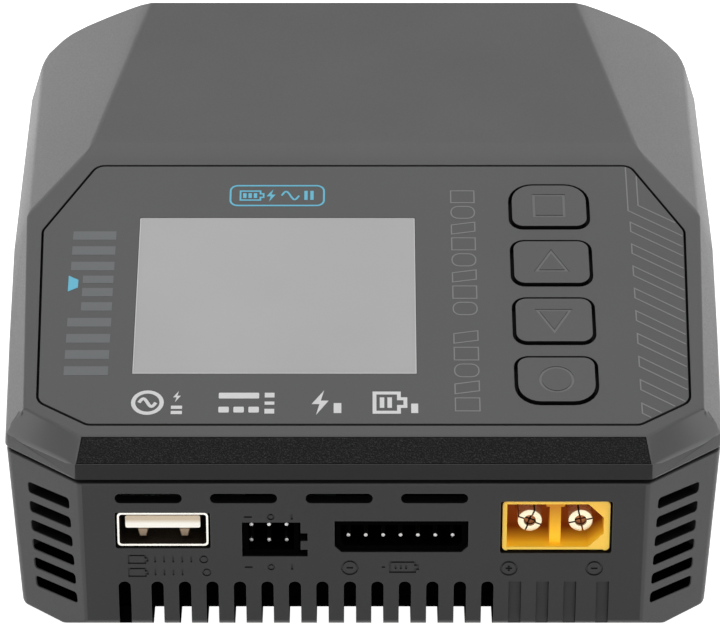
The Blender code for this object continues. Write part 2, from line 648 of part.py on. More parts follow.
for x, z in FAN_HOLES:
    outline = circle(x, z, 1.75, 12)
    holes.append(([(a, yy(y), b) for y in (92, 105) for a, b in outline], extrusion(outline, 0, 1)[1]))
boolean(frame_body, solid("fan_holes", holes, cutter=True))


def fan_rotor():
    """Hub and seven pitched blades, built round the rotor's own axis."""
    hub = circle(0, 0, 8.8, 24)
    obj = solid("fan_rotor", [([(a, y, b) for y in (-3.8, 3.4) for a, b in hub], extrusion(hub, 0, 1)[1])],
                "port_plastic")
    blades = []
    for k in range(7):
        turn = Matrix.Rotation(2 * math.pi * k / 7, 4, "Y") @ Matrix.Rotation(math.radians(38), 4, "X")
        points, faces = box(7.4, 18.0, -0.45, 0.45, -3.9, 3.9)
        blades.append(([tuple(turn @ Vector(p)) for p in points], faces))
    tool = solid("fan_blades", blades, cutter=True)
    boolean(obj, tool, "UNION")
    for o in (obj, tool):
        o.location = Vector((FAN_X, yy(99.3), FAN_Z)) * MM


fan_rotor()


def screw(name, x, y, z, head_r, head_t, shank_r, length, axis):
    """Pan screw with its head at the given point; axis z drives up, axis y drives toward -Y."""
    pieces = [extrusion(circle(0, 0, head_r, 16), 0, head_t)]
    shank = extrusion(circle(0, 0, shank_r, 12), head_t - 0.3, head_t + length)
    cross = [box(-0.35, 0.35, -1.3, 1.3, -1, 0.9), box(-1.3, 1.3, -0.35, 0.35, -1, 0.9)]
    place = Matrix.Translation((x, y, z))
    if axis == "y":
        place = place @ Matrix.Rotation(math.radians(90), 4, "X")
    obj = solid(name, pieces, "tin_steel", place=place)
    boolean(obj, solid(name + "_shank", [shank], cutter=True, place=place), "UNION")
    boolean(obj, solid(name + "_slot_a", cross[:1], cutter=True, place=place))
    boolean(obj, solid(name + "_slot_b", cross[1:], cutter=True, place=place))


for number, (x, y) in enumerate(POSTS, 1):
    screw(f"case_screw_{number}", x, y, 2.4, 2.3, 2.3, 1.15, 26.5, "z")
for number, (x, z) in enumerate(FAN_HOLES, 1):
    screw(f"fan_screw_{number}", x, yy(106.9), z, 2.4, 1.4, 1.3, 10.0, "y")
for number, (x, y) in enumerate(FEET, 1):
    foot = solid(f"foot_{number}", [extrusion(circle(x, y, 4.0, 20), 0.0, CASE_Z0 + 0.8)], "rubber")
    bevel(foot, 0.25, 1, 60)

plug("input_plug", IN_XT, (16.75, 23.95), 98.5, 92.0, 106.9, 1)

ac = solid("ac_inlet", [([(x, yy(y), z) for y in (94.0, 106.9) for x, z in rect(*AC, 3.0, 4)],
                         extrusion(rect(*AC, 3.0, 4), 0, 1)[1])], "port_plastic")
ac_mid_x, ac_mid_z = (AC[0] + AC[1]) / 2, (AC[2] + AC[3]) / 2
well = rect(ac_mid_x - 7.9, ac_mid_x + 7.9, ac_mid_z - 3.9, ac_mid_z + 3.9, 3.85, 5)
boolean(ac, solid("ac_well", [([(x, yy(y), z) for y in (96.5, 108.0) for x, z in well],
                               extrusion(well, 0, 1)[1])], cutter=True))
for sign, x in (("a", ac_mid_x - 4.3), ("b", ac_mid_x + 4.3)):
    way = circle(x, ac_mid_z, 1.45, 12)
    boolean(ac, solid(f"ac_way_{sign}", [([(p, yy(y), q) for y in (92.0, 98.0) for p, q in way],
                                          extrusion(way, 0, 1)[1])], cutter=True))
    pin = circle(x, ac_mid_z, 1.2, 12)
    solid(f"ac_pin_{sign}", [([(p, yy(y), q) for y in (93.0, 105.0) for p, q in pin], extrusion(pin, 0, 1)[1])],
          "tin_steel")
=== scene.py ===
"""Looks of the balance charger: refined shells, panel, keys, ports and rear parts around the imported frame.

Lengths are millimetres until a mesh is written; meshes are metres, in the frame's own axes: ports face -Y, +Z is up.
"""

import json
from math import asin, atan2, cos, degrees, pi, radians, sin, sqrt, tan

import bmesh
import bpy
import numpy as np
from mathutils import Matrix, Vector
from mathutils.bvhtree import BVHTree


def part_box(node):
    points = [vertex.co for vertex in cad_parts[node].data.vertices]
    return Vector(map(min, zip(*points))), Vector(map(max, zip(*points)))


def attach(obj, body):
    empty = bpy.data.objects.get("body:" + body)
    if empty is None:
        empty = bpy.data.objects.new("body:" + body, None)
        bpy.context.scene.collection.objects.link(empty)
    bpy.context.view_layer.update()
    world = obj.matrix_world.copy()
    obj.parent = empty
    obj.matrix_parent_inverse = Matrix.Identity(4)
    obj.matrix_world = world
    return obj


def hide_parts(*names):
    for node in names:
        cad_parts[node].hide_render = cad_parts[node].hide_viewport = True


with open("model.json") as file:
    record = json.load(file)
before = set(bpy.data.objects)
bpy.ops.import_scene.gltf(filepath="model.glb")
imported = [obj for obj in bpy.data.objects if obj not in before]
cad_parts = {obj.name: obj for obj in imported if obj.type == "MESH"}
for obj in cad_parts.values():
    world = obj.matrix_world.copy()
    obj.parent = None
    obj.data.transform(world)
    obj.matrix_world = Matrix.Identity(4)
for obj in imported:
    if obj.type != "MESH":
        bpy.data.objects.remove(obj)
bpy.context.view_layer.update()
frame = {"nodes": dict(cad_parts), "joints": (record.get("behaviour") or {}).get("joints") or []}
MM = 0.001
MOUTH_LAP = 0.012       # how far a cutter's rounded mouth starts above the surface, so that the faces don't coincide


# ---- shape helpers ----
def scaled(matrix):
    moved = matrix.copy()
    moved.translation = matrix.translation * MM
    return moved


def shift(x, y, z):
    return Matrix.Translation((x, y, z))


def rotation(angle, axis):
    return Matrix.Rotation(radians(angle), 4, axis)


def rounded(points, radii, n=6):
    """Outline with an arc of n segments at each corner of a convex polygon (radius 0 keeps it sharp)."""
    if isinstance(radii, (int, float)):
        radii = [radii] * len(points)
    out = []
    count = len(points)
    for i, (p, r) in enumerate(zip(points, radii)):
        p = Vector(p[:2])
        a = (Vector(points[i - 1][:2]) - p).normalized()
        b = (Vector(points[(i + 1) % count][:2]) - p).normalized()
        if r <= 0:
            out.append(tuple(p))
            continue
        half = a.angle(b) / 2
        middle = p + (a + b).normalized() * (r / sin(half))
        start = p + a * (r / tan(half)) - middle
        end = p + b * (r / tan(half)) - middle
        sweep = start.angle_signed(end)
        for k in range(n + 1):
            t = -sweep * k / n
            out.append((middle.x + start.x * cos(t) - start.y * sin(t),
                        middle.y + start.x * sin(t) + start.y * cos(t)))
    return out


def rect(x0, x1, y0, y1, r=0.0, n=6):
    """Rectangle with one corner radius, or a list of four, from the lower left corner round."""
    return rounded([(x0, y0), (x1, y0), (x1, y1), (x0, y1)], r, n)


def grown_rect(x0, x1, y0, y1, r, n=4, grow_r=1):
    """Rectangle as a function of how far it is grown; with grow_r 0 its corner radius stays the same."""
    return lambda g: rect(x0 - g, x1 + g, y0 - g, y1 + g, r + g * grow_r, n)


def circle(cx, cy, r, n=32):
    return [(cx + r * cos(2 * pi * i / n), cy + r * sin(2 * pi * i / n)) for i in range(n)]


def moved_out(points, d, closed=True):
    """Each side of a polygon (or of an open line) moved sideways by d, with mitred corners."""
    count = len(points)
    out = []
    for i, p in enumerate(points):
        p = Vector(p[:2])
        before = Vector(points[i - 1][:2]) if closed or i else None
        after = Vector(points[(i + 1) % count][:2]) if closed or i < count - 1 else None
        d1 = (p - before).normalized() if before is not None else (after - p).normalized()
        d2 = (after - p).normalized() if after is not None else d1
        n1, n2 = Vector((d1.y, -d1.x)), Vector((d2.y, -d2.x))
        out.append(tuple(p + (n1 + n2) * (d / (1 + n1.dot(n2)))))
    return out


def loft(layers):
    """Closed skin through (outline, height) layers that have the same number of points."""
    n = len(layers[0][0])
    points = [(p[0], p[1], z) for outline, z in layers for p in outline]
    last = (len(layers) - 1) * n
    faces = [list(range(n))[::-1], [last + i for i in range(n)]]
    for a in range(0, last, n):
        faces += [[a + i, a + (i + 1) % n, a + n + (i + 1) % n, a + n + i] for i in range(n)]
    return points, faces


def prism(outline, z0, z1):
    return loft([(outline, z0), (outline, z1)])


def quarter(r, n=4):
    """(sideways, down) steps of a quarter round, from the flat top to the wall."""
    return [(r - r * sin(t), r - r * cos(t)) for t in (pi / 2 * k / n for k in range(n + 1))]


def mouth(grown, depth, r, out=3.0, n=4):
    """Cutter with a rounded mouth: grown(g) is its outline grown by g, and the surface is at height 0."""
    layers = [(grown(r), out)] + [(grown(side), MOUTH_LAP - down) for side, down in quarter(r, n)]
    return loft((layers + [(grown(0.0), -depth)])[::-1])


def pillow(grown, z0, z1, r, n=4):
    """Plate from z0 up to z1 with a rounded top edge; grown(g) is its outline grown by g."""
    return loft([(grown(0.0), z0)] + [(grown(side - r), z1 - down) for side, down in quarter(r, n)[::-1]])


def tube(outer, inner, z0, z1):
    """Closed band between two outlines with the same number of points."""
    n = len(outer)
    points = [(x, y, z) for z in (z0, z1) for ring in (outer, inner) for x, y in ring]
    faces = []
    for i in range(n):
        j = (i + 1) % n
        faces += [[j, i, n + i, n + j], [2 * n + i, 2 * n + j, 3 * n + j, 3 * n + i],
                  [i, j, 2 * n + j, 2 * n + i], [n + j, n + i, 3 * n + i, 3 * n + j]]
    return points, faces


def lathe(profile, n=40):
    """Closed solid of revolution round Z; the profile runs from the axis at the bottom to the axis at the top."""
    points = [(0.0, 0.0, profile[0][1])]
    rings = profile[1:-1]
    for r, z in rings:
        points += [(x, y, z) for x, y in circle(0, 0, r, n)]
    points.append((0.0, 0.0, profile[-1][1]))
    top = len(points) - 1
    faces = [[0, 1 + (i + 1) % n, 1 + i] for i in range(n)]
    for k in range(len(rings) - 1):
        a = 1 + k * n
        faces += [[a + i, a + (i + 1) % n, a + n + (i + 1) % n, a + n + i] for i in range(n)]
    a = 1 + (len(rings) - 1) * n
    faces += [[a + i, a + (i + 1) % n, top] for i in range(n)]
    return points, faces


def placed(piece, matrix):
    return [tuple(matrix @ Vector(p)) for p in piece[0]], piece[1]


def line(points, width, closed=True):
    """Band of even width along a polygon, or along an open line."""
    if closed:
        return tube(moved_out(points, width / 2), moved_out(points, -width / 2), 0.0, 1.0)
    return prism(moved_out(points, width / 2, False) + moved_out(points, -width / 2, False)[::-1], 0.0, 1.0)


def between(piece, z0, z1):
    """The same flat piece from z0 to z1."""
    return [(x, y, z0 + (z1 - z0) * z) for x, y, z in piece[0]], piece[1]


def skin(name, pieces, place=None):
    """One object out of closed pieces, each (points, faces) in millimetres, with every face looking outwards."""
    bm = bmesh.new()
    for points, faces in pieces:
        verts = [bm.verts.new(Vector(p) * MM) for p in points]
        made = [bm.faces.new([verts[i] for i in face]) for face in faces]
        bmesh.ops.recalc_face_normals(bm, faces=made)
        for face in made:
            face.normal_update()
        middle = sum((v.co for v in verts), Vector()) / len(verts)
        volume = sum(f.calc_area() * f.normal.dot(f.calc_center_median() - middle) for f in made)
        if volume < 0:
            bmesh.ops.reverse_faces(bm, faces=made)
    if place:
        bmesh.ops.transform(bm, matrix=scaled(place), verts=bm.verts)
    return as_object(name, bm)


def linked(name, data):
    obj = bpy.data.objects.new(name, data)
    bpy.context.scene.collection.objects.link(obj)
    return obj


def as_object(name, bm):
    mesh = bpy.data.meshes.new(name)
    bm.to_mesh(mesh)
    bm.free()
    return linked(name, mesh)


def hull(name, points):
    bm = bmesh.new()
    for p in points:
        bm.verts.new(Vector(p) * MM)
    result = bmesh.ops.convex_hull(bm, input=bm.verts)
    loose = {g for g in result["geom_interior"] + result["geom_unused"] if isinstance(g, bmesh.types.BMVert)}
    bmesh.ops.delete(bm, geom=list(loose), context="VERTS")
    bmesh.ops.dissolve_limit(bm, angle_limit=radians(0.6), verts=bm.verts, edges=bm.edges)
    bmesh.ops.recalc_face_normals(bm, faces=bm.faces)
    return as_object(name, bm)


def inset_corners(points, depth_of):
    """Corners of the convex shape whose faces lie depth_of(normal) inside the hull of the points."""
    shell = hull("inset", points)
    planes = []
    for face in shell.data.polygons:
        normal = np.array(face.normal)
        planes.append((normal, float(normal @ np.array(face.center)) / MM - depth_of(normal)))
    drop(shell)
    corners = []
    for i in range(len(planes)):
        for j in range(i + 1, len(planes)):
            for k in range(j + 1, len(planes)):
                rows = np.array([planes[i][0], planes[j][0], planes[k][0]])
                if abs(np.linalg.det(rows)) < 1e-4:
                    continue
                p = np.linalg.solve(rows, [planes[i][1], planes[j][1], planes[k][1]])
                if all(n @ p <= d + 1e-4 for n, d in planes):
                    corners.append(tuple(p))
    return corners


def drop(obj):
    mesh = obj.data
    bpy.data.objects.remove(obj)
    bpy.data.meshes.remove(mesh)


def apply_all(obj):
    """The object's modifiers become its mesh."""
    bpy.context.view_layer.update()
    old = obj.data
    obj.data = bpy.data.meshes.new_from_object(obj.evaluated_get(bpy.context.evaluated_depsgraph_get()))
    obj.modifiers.clear()
    obj.data.name = obj.name
    bpy.data.meshes.remove(old)


def edge_round(obj, width_of, segments=4):
    """Round edges by width_of(middle in mm, angle in degrees), which gives millimetres, 0 for none."""
    bm = bmesh.new()
    bm.from_mesh(obj.data)
    widths = []
    for e in bm.edges:
        angle = degrees(e.calc_face_angle(0.0))
        widths.append(width_of((e.verts[0].co + e.verts[1].co) / 2 / MM, angle))
    bm.free()
    most = max(widths)
    weight = obj.data.attributes.new("bevel_weight_edge", "FLOAT", "EDGE")
    weight.data.foreach_set("value", [w / most for w in widths])
    mod = obj.modifiers.new("round", "BEVEL")
    mod.limit_method = "WEIGHT"
    mod.width = most * MM
    mod.segments = segments
    mod.use_clamp_overlap = False
    mod.miter_outer = "MITER_SHARP"
    apply_all(obj)


def carve(obj, tools, operation="DIFFERENCE"):
    for tool in tools:
        mod = obj.modifiers.new(tool.name, "BOOLEAN")
        mod.operation = operation
        mod.solver = "EXACT"
        mod.object = tool
    apply_all(obj)
    for tool in tools:
        drop(tool)


def cut(obj, name, pieces, place=None, operation="DIFFERENCE"):
    """One Boolean with one tool made of closed pieces."""
    carve(obj, [skin(name, pieces, place)], operation)


OUTSIDE, HOLLOW = 0, 1       # material indices after paint_inside_shade


def paint_inside_shade(obj, outer, deeper, look):
    """Faces that lie deeper than that many millimetres below the outer skin get a second material, a darker one that is
    painted shade.
    """
    skin_tree = BVHTree.FromPolygons([v.co for v in outer.vertices], [tuple(p.vertices) for p in outer.polygons])
    obj.data.materials.append(None)
    obj.data.materials.append(look)
    for face in obj.data.polygons:
        face.material_index = HOLLOW if skin_tree.find_nearest(face.center)[3] > deeper * MM else OUTSIDE


def add_look(obj, look):
    """One more material for chosen faces; gives its index."""
    obj.data.materials.append(look)
    return len(obj.data.materials) - 1


def stand(obj, look, nodes=(), body="case", sharp=35.0):
    """Finish a piece: smooth shading with crisp edges, its material, the body it rides on and the nodes it replaces."""
    obj.data.shade_smooth()
    obj.data.set_sharp_from_angle(angle=radians(sharp))
    mod = obj.modifiers.new("normals", "WEIGHTED_NORMAL")
    mod.keep_sharp = True
    if obj.data.materials:
        obj.data.materials[0] = look
    else:
        obj.data.materials.append(look)
    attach(obj, body)
    if nodes:
        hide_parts(*nodes)
# ---- materials ----
class Look:
    """Material on the Principled shader, with its textures on object coordinates."""

    def __init__(self, name):
        self.mat = bpy.data.materials.new(name)
        self.mat.use_nodes = True

    def put(self, node, values):
        """Constants, or outputs of other nodes, onto a node's sockets."""
        for socket, value in values.items():
            if isinstance(value, bpy.types.NodeSocket):
                self.mat.node_tree.links.new(value, node.inputs[socket])
            else:
                node.inputs[socket].default_value = value
        return node

    def add(self, kind, values, operation=None):
        node = self.mat.node_tree.nodes.new("ShaderNode" + kind)
        if operation:
            node.operation = operation
        return self.put(node, values)

    def done(self, values):
        self.put(self.mat.node_tree.nodes["Principled BSDF"], values)
        return self.mat

    def where(self):
        return self.add("TexCoord", {}).outputs["Object"]

    def noise(self, scale, detail=2.0, stretch=None):
        where = self.where()
        if stretch:
            where = self.add("Mapping", {"Scale": stretch, "Vector": where}).outputs["Vector"]
        return self.add("TexNoise", {"Scale": scale, "Detail": detail, "Vector": where}).outputs["Fac"]

    def spread(self, value, low, high, start=0.3, end=0.7):
        """Number between low and high as value goes from start to end."""
        node = self.add("MapRange", {"From Min": start, "From Max": end, "To Min": low, "To Max": high,
                                               "Value": value})
        return node.outputs["Result"]

    def tint(self, value, low, high, start=0.3, end=0.7):
        """Colour between low and high as value goes from start to end."""
        node = self.add("ValToRGB", {"Fac": value})
        for stop, position, colour in zip(node.color_ramp.elements, (start, end), (low, high)):
            stop.position = position
            stop.color = (*colour, 1.0)
        return node.outputs["Color"]

    def clouded(self, scale, colour, vary):
        """The colour, lighter and darker by the share vary."""
        low, high = (tuple(min(1.0, c * k) for c in colour) for k in (1 - vary, 1 + vary))
        return self.tint(self.noise(scale), low, high)

    def relief(self, height, distance):
        """Normal of a bump that is distance millimetres high."""
        return self.add("Bump", {"Strength": 1.0, "Distance": distance * MM, "Height": height}).outputs["Normal"]


def plastic(name, colour, rough, grain=0.3, depth=0.006, vary=0.05, gloss=0.5):
    """Moulded plastic: eroded texture of the given grain size, slight colour and gloss variation."""
    look = Look(name)
    fine = look.noise(1000.0 / grain, 3.0)
    return look.done({"Base Color": look.clouded(55.0, colour, vary), "Specular IOR Level": gloss,
                      "Roughness": look.spread(fine, rough - 0.06, rough + 0.06), "Normal": look.relief(fine, depth)})


def metal(name, colour, rough, scratch=(1.0, 1.0, 1.0), grain=0.5, metallic=1.0):
    """Plated or bare metal with fine drawn marks and slight tarnish."""
    look = Look(name)
    fine = look.noise(1000.0 / grain, 3.0, scratch)
    return look.done({"Base Color": look.clouded(240.0, colour, 0.08), "Metallic": metallic,
                      "Roughness": look.spread(fine, rough * 0.8, rough * 1.25), "Normal": look.relief(fine, 0.002)})


def coarse_grain(name):
    """Black strip with a coarse sparkling grain."""
    look = Look(name)
    cells = look.add("TexVoronoi", {"Scale": 3600.0, "Vector": look.where()}).outputs["Distance"]
    fine = look.noise(5200.0)
    height = look.add("Math", {0: cells, 1: fine}, "ADD").outputs[0]
    return look.done({"Base Color": look.tint(fine, (0.0035, 0.0035, 0.0037), (0.06, 0.06, 0.061), 0.5, 0.84),
                      "Roughness": look.spread(fine, 0.62, 0.35), "Normal": look.relief(height, 0.05),
                      "Specular IOR Level": 0.2})


def display_film(name):
    """Switched-off display under its cover: silver grey, nearly even, with a faint reflection."""
    look = Look(name)
    return look.done({"Base Color": look.tint(look.noise(60.0), (0.425, 0.419, 0.422), (0.446, 0.44, 0.443)),
                      "Roughness": look.spread(look.noise(2600.0), 0.33, 0.4),
                      "Coat Weight": 0.3, "Coat Roughness": 0.12})


def amber(name, low, high, z0, z1, glow=0.25, painted_glow=0.0, gloss=0.5, deep=0.0):
    """Yellow nylon with a waxy glow, one colour at height z0 (mm) and another at z1; deep is the depth's share. In the
    wells the colour darkens deeper in and higher up, painted shade, and the emission is a painted glow.
    """
    look = Look(name)
    split = look.add("SeparateXYZ", {"Vector": look.where()}).outputs
    place = look.add("Math", {0: split["Y"], 1: deep, 2: split["Z"]}, "MULTIPLY_ADD").outputs[0]
    colour = look.tint(look.spread(place, 0.0, 1.0, z0 * MM, z1 * MM), low, high, 0.05, 0.95)
    fine = look.noise(1600.0)
    return look.done({"Base Color": colour, "Specular IOR Level": gloss, "Subsurface Weight": glow,
                      "Emission Color": colour, "Emission Strength": painted_glow,
                      "Roughness": look.spread(fine, 0.36, 0.5), "Normal": look.relief(fine, 0.004),
                      "Subsurface Scale": 1.0, "Subsurface Radius": (0.0012, 0.0006, 0.0001)})


def ivory(name, low, high, z0, z1):
    """Pale contact block, darker towards its top: painted shade."""
    look = Look(name)
    up = look.add("SeparateXYZ", {"Vector": look.where()}).outputs["Z"]
    return look.done({"Base Color": look.tint(look.spread(up, 0.0, 1.0, z0 * MM, z1 * MM), low, high),
                      "Roughness": look.spread(look.noise(2400.0), 0.4, 0.5)})


FRONT_LEAN = degrees(atan2(0.8, 24.04))
TILT = degrees(asin(frame["joints"][0]["axis"][1])) if "axis" in frame["joints"][0] else 20.0


def node_box(name):
    """x0, x1, y0, y1, z0, z1 of a CAD node in millimetres."""
    low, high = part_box(name)
    return [v / MM for pair in zip(low, high) for v in pair]


def middle_of(b):
    """Centre of such a box."""
    return [(b[k] + b[k + 1]) / 2 for k in (0, 2, 4)]


def satin(name, colour, rough, grain=0.12, vary=0.03):
    """Smooth plastic or print."""
    return plastic(name, colour, rough, grain, 0.002, vary)


CASE = plastic("lower_texture", (0.03, 0.03, 0.0306), 0.42, gloss=0.4)
# darker copy of the case plastic for its flat front faces, which get less light: painted shade
CASE_FRONT_SHADE = plastic("lower_front_painted_shade", (0.0195, 0.0195, 0.02), 0.45, gloss=0.3)
LID = plastic("lid_texture", (0.074, 0.074, 0.0745), 0.4)
# darker copy of the lid plastic for the front of the lid's lower band: painted shade
LID_FRONT_SHADE = plastic("lid_front_painted_shade", (0.0105, 0.0105, 0.0107), 0.5, gloss=0.2)
# lighter copy of the lid plastic for the front corner facets: painted light
LID_CORNER_LIGHT = plastic("lid_corner_painted_light", (0.091, 0.091, 0.0916), 0.4)
PANEL_LOOK = satin("panel_satin", (0.081, 0.0812, 0.082), 0.5, 0.16, 0.02)
KEY_LOOK = satin("key_satin", (0.082, 0.082, 0.083), 0.46, 0.18, 0.02)
KEY_MARK = satin("key_mark", (0.155, 0.155, 0.156), 0.5, 0.18, 0.02)
PORT = plastic("port_black", (0.006, 0.006, 0.006), 0.5, depth=0.004, gloss=0.25)
JET = plastic("header_black", (0.0012, 0.0012, 0.0012), 0.7, depth=0.004, gloss=0.0)
# near-black for faces deep in openings and on the key caps' walls: painted shade
INSIDE_SHADE = plastic("case_inside_painted_shade", (0.007, 0.007, 0.007), 0.6, gloss=0.2)
REAR_LOOK = plastic("rear_black", (0.02, 0.02, 0.021), 0.5, depth=0.008)
STRIP = coarse_grain("strip_grain")
FILM = display_film("display_film")
PLUG_FACE, _, PLUG_LOW, PLUG_HIGH = node_box("output_plug")[2:]
PLUG = amber("plug_yellow", (1.0, 0.6, 0.06), (1.0, 0.56, 0.05), PLUG_LOW, PLUG_HIGH)
WELL_DEEP = 1.6         # in the shade of the wells, depth counts this many times as much as height
# inside the plug's wells: amber darkening to brown deeper in and higher up, painted shade, with a faint emission, a
# painted glow
WELL_SHADE_GLOW = amber("plug_well_painted_shade_glow", (1.0, 0.56, 0.025), (0.3, 0.062, 0.006), PLUG_LOW + 2.2 + WELL_DEEP * PLUG_FACE,
                  PLUG_LOW + 10.5 + WELL_DEEP * PLUG_FACE, 0.1, 0.25, 0.15, WELL_DEEP)
INK_WHITE = satin("ink_white", (0.74, 0.74, 0.74), 0.55)
INK_GREY = satin("ink_grey", (0.142, 0.152, 0.158), 0.55)
INK_CYAN = satin("ink_cyan", (0.13, 0.53, 0.72), 0.55)
INK_LINE = satin("ink_line", (0.21, 0.21, 0.212), 0.5)
# light grey line inside the display's edges: painted highlight
DISPLAY_EDGE_HIGHLIGHT = satin("display_edge_painted_highlight", (0.6, 0.6, 0.6), 0.4)
GOLD = metal("pin_gold", (0.98, 0.86, 0.62), 0.3, metallic=0.5)
TIN = metal("tin_bright", (0.86, 0.83, 0.77), 0.26, (1.0, 8.0, 1.0), metallic=0.8)
PIN_TIN = metal("pin_tin", (0.98, 0.96, 0.92), 0.4, metallic=0.1)
# dark for the pins' sides: painted shade
PIN_SIDE_SHADE = metal("pin_shade", (0.03, 0.028, 0.025), 0.5, metallic=0.6)
# dark brown for the insides of the pins' slits and bore, and red-brown for the bore's floor: painted shade
PIN_BORE_SHADE = metal("contact_shade", (0.05, 0.03, 0.018), 0.5, metallic=0.5)
BORE_FLOOR_SHADE = metal("bore_shade", (0.42, 0.13, 0.03), 0.5, metallic=0.2)
# dark bronze for the socket's inner walls: painted shade
USB_INSIDE_SHADE = metal("socket_shade", (0.035, 0.024, 0.015), 0.55, metallic=0.5)
SPRING = metal("contact_spring", (0.30, 0.22, 0.15), 0.4, metallic=0.6)
STEEL = metal("screw_steel", (0.3, 0.3, 0.31), 0.35, grain=0.3)
# ivory at the tongue's bottom, darker beige at its top: painted shade
IVORY = ivory("ivory_tongue", (0.98, 0.94, 0.86), (0.62, 0.5, 0.36), 18.7, 20.3)
RUBBER = plastic("foot_rubber", (0.018, 0.018, 0.018), 0.75, 0.4, 0.015, gloss=0.3)
BOARD = plastic("board_mask", (0.02, 0.13, 0.06), 0.35, 0.6, 0.004, vary=0.12)
ALUMINIUM = metal("sink_aluminium", (0.7, 0.71, 0.72), 0.4, (1.0, 12.0, 1.0))
FERRITE = plastic("ferrite_grey", (0.05, 0.048, 0.045), 0.6, 0.5, 0.01, vary=0.12)
SLEEVE = plastic("can_sleeve", (0.02, 0.035, 0.1), 0.3, 0.6, 0.002, vary=0.06)
CERAMIC = plastic("ceramic_white", (0.75, 0.75, 0.72), 0.4, 0.4, 0.003)
DISPLAY_BACK = metal("display_back", (0.6, 0.6, 0.58), 0.35, (6.0, 1.0, 1.0))


# ---- the shells ----
Y_SHIFT = 53.4
WALL = 2.0
SEAM_LOW, SEAM_HIGH = 26.33, 27.03
BAND_TOP = 29.5
CASE_Z0, FRONT_Z0 = 0.5, 2.8
PANEL_Y0, PANEL_Z0 = 2.2, 32.46


def yy(y):
    """Distance behind the front plane -> Y of the frame."""
    return y - Y_SHIFT


PANEL = shift(0, yy(PANEL_Y0), PANEL_Z0) @ rotation(TILT, "X")
FRONT = shift(0, yy(0.593), 0) @ rotation(90 + FRONT_LEAN, "X")
CHAMFER = shift(0, yy(-0.5), BAND_TOP) @ Matrix.Rotation(atan2(3.03, 2.9), 4, "X")
REAR = rotation(180, "Z") @ rotation(90, "X")       # x to the left, y up, z out of the rear


def plan(corners, radii, n=8, inset=0.0):
    """Plan outline: four corners on the right side, mirrored to the left, moved in by inset."""
    points = [(x, yy(y)) for x, y in corners]
    points += [(-x, y) for x, y in reversed(points)]
    radii = [max(0.4, r - inset) for r in list(radii) + list(reversed(radii))]
    return rounded(moved_out(points, -inset), radii, n)


LOW_LAYERS = [(CASE_Z0, [(44.4, 4.2), (50.15, 9.5), (51.9, 99.0), (46.3, 105.8)], (1.0, 2.4, 6.0, 6.0)),
              (FRONT_Z0, [(40.3, 0.5), (50.3, 9.5), (52.04, 99.04), (46.41, 105.9)], (1.0, 2.4, 6.0, 6.0)),
              (SEAM_LOW, [(40.6, -0.3), (51.65, 9.95), (53.5, 99.5), (47.6, 107.0)], (1.4, 2.4, 6.0, 6.0))]


def seam_line(k, n=8):
    return plan([(40.6 - 0.4 * k, -0.3 + k), (51.65 - k, 9.95 + 0.4 * k), (53.5 - k, 99.5 - 0.4 * k),
                 (47.6 - 0.4 * k, 107.0 - k)], (2.0, 2.4, 6.0, 6.0), n)


def lower_rounding(middle, angle):
    if angle < 22:
        return 0.0
    if middle.z > 20:
        return 0.3
    return 0.45 if middle.y < yy(3.0) else 0.7


lower = skin("lower_shell", [loft([(plan(corners, radii), z) for z, corners, radii in LOW_LAYERS])])
edge_round(lower, lower_rounding, 3)
lower_skin = lower.data.copy()
room = [(plan(corners, radii, 8, WALL), z + up) for (z, corners, radii), up in zip(LOW_LAYERS, (2.0, 1.6, 3.0))]
cut(lower, "low_room", [loft(room)])

POSTS = [(s * x, yy(y)) for x, y in ((43.2, 16.5), (45.4, 90.5)) for s in (1, -1)]
carve(lower, [skin("posts", [prism(circle(x, y, 3.4), 1.4, SEAM_LOW) for x, y in POSTS]),
              skin("lip", [tube(seam_line(1.15), seam_line(2.05), 24.5, 28.7)])], "UNION")
FEET = [(s * x, yy(y)) for x, y in ((36.5, 14.5), (38.5, 93.5)) for s in (1, -1)]
carve(lower, [skin("seats", [prism(circle(x, y, 2.6), -1.0, 5.0) for x, y in POSTS]),
              skin("ways", [prism(circle(x, y, 1.45, 20), 4.0, SEAM_LOW + 1) for x, y in POSTS]),
              skin("pads", [prism(circle(x, y, 4.3, 40), -1.0, CASE_Z0 + 0.9) for x, y in FEET])])


# front openings: ports, horizontal slots, floor slots and corner slots
def port_frame(node):
    x0, x1, _, _, z0, z1 = node_box(node)
    return x0, x1, z0, z1


OUT_XT, USB, HEAD, BAL = (port_frame(n) for n in ("output_plug", "usb_shell", "signal_header", "balance_port"))


def key_slots(g):
    """Header opening with the two polarity notches on its right."""
    x0, x1, z0, z1 = HEAD
    x0, x1, z0, z1 = x0 - 0.15 - g, x1 + 0.15 + g, z0 - 0.15 - g, z1 + 0.15 + g
    out = x1 + 1.0
    return [(x0, z0), (out, z0), (out, z0 + 1.15 + 2 * g), (x1, z0 + 1.1 + 2 * g), (x1, z0 + 2.6), (out, z0 + 2.6),
            (out, z0 + 3.9 + 2 * g), (x1, z0 + 3.9 + 2 * g), (x1, z1), (x0, z1)]


def frame_grown(x0, x1, z0, z1, gap=0.3, r=0.35, n=4):
    return grown_rect(x0 - gap, x1 + gap, z0 - gap, z1 + gap, r, n)


def balance_outline(g, gap=0.1):
    x0, x1, z0, z1 = BAL
    x0, x1, z0, z1 = x0 - gap - g, x1 + gap + g, z0 - gap - g, z1 + gap + g
    return [(x0, z0 + 1.0), (x0 + 1.0, z0), (x1 - 1.0, z0), (x1, z0 + 1.0), (x1, z1), (x0, z1)]


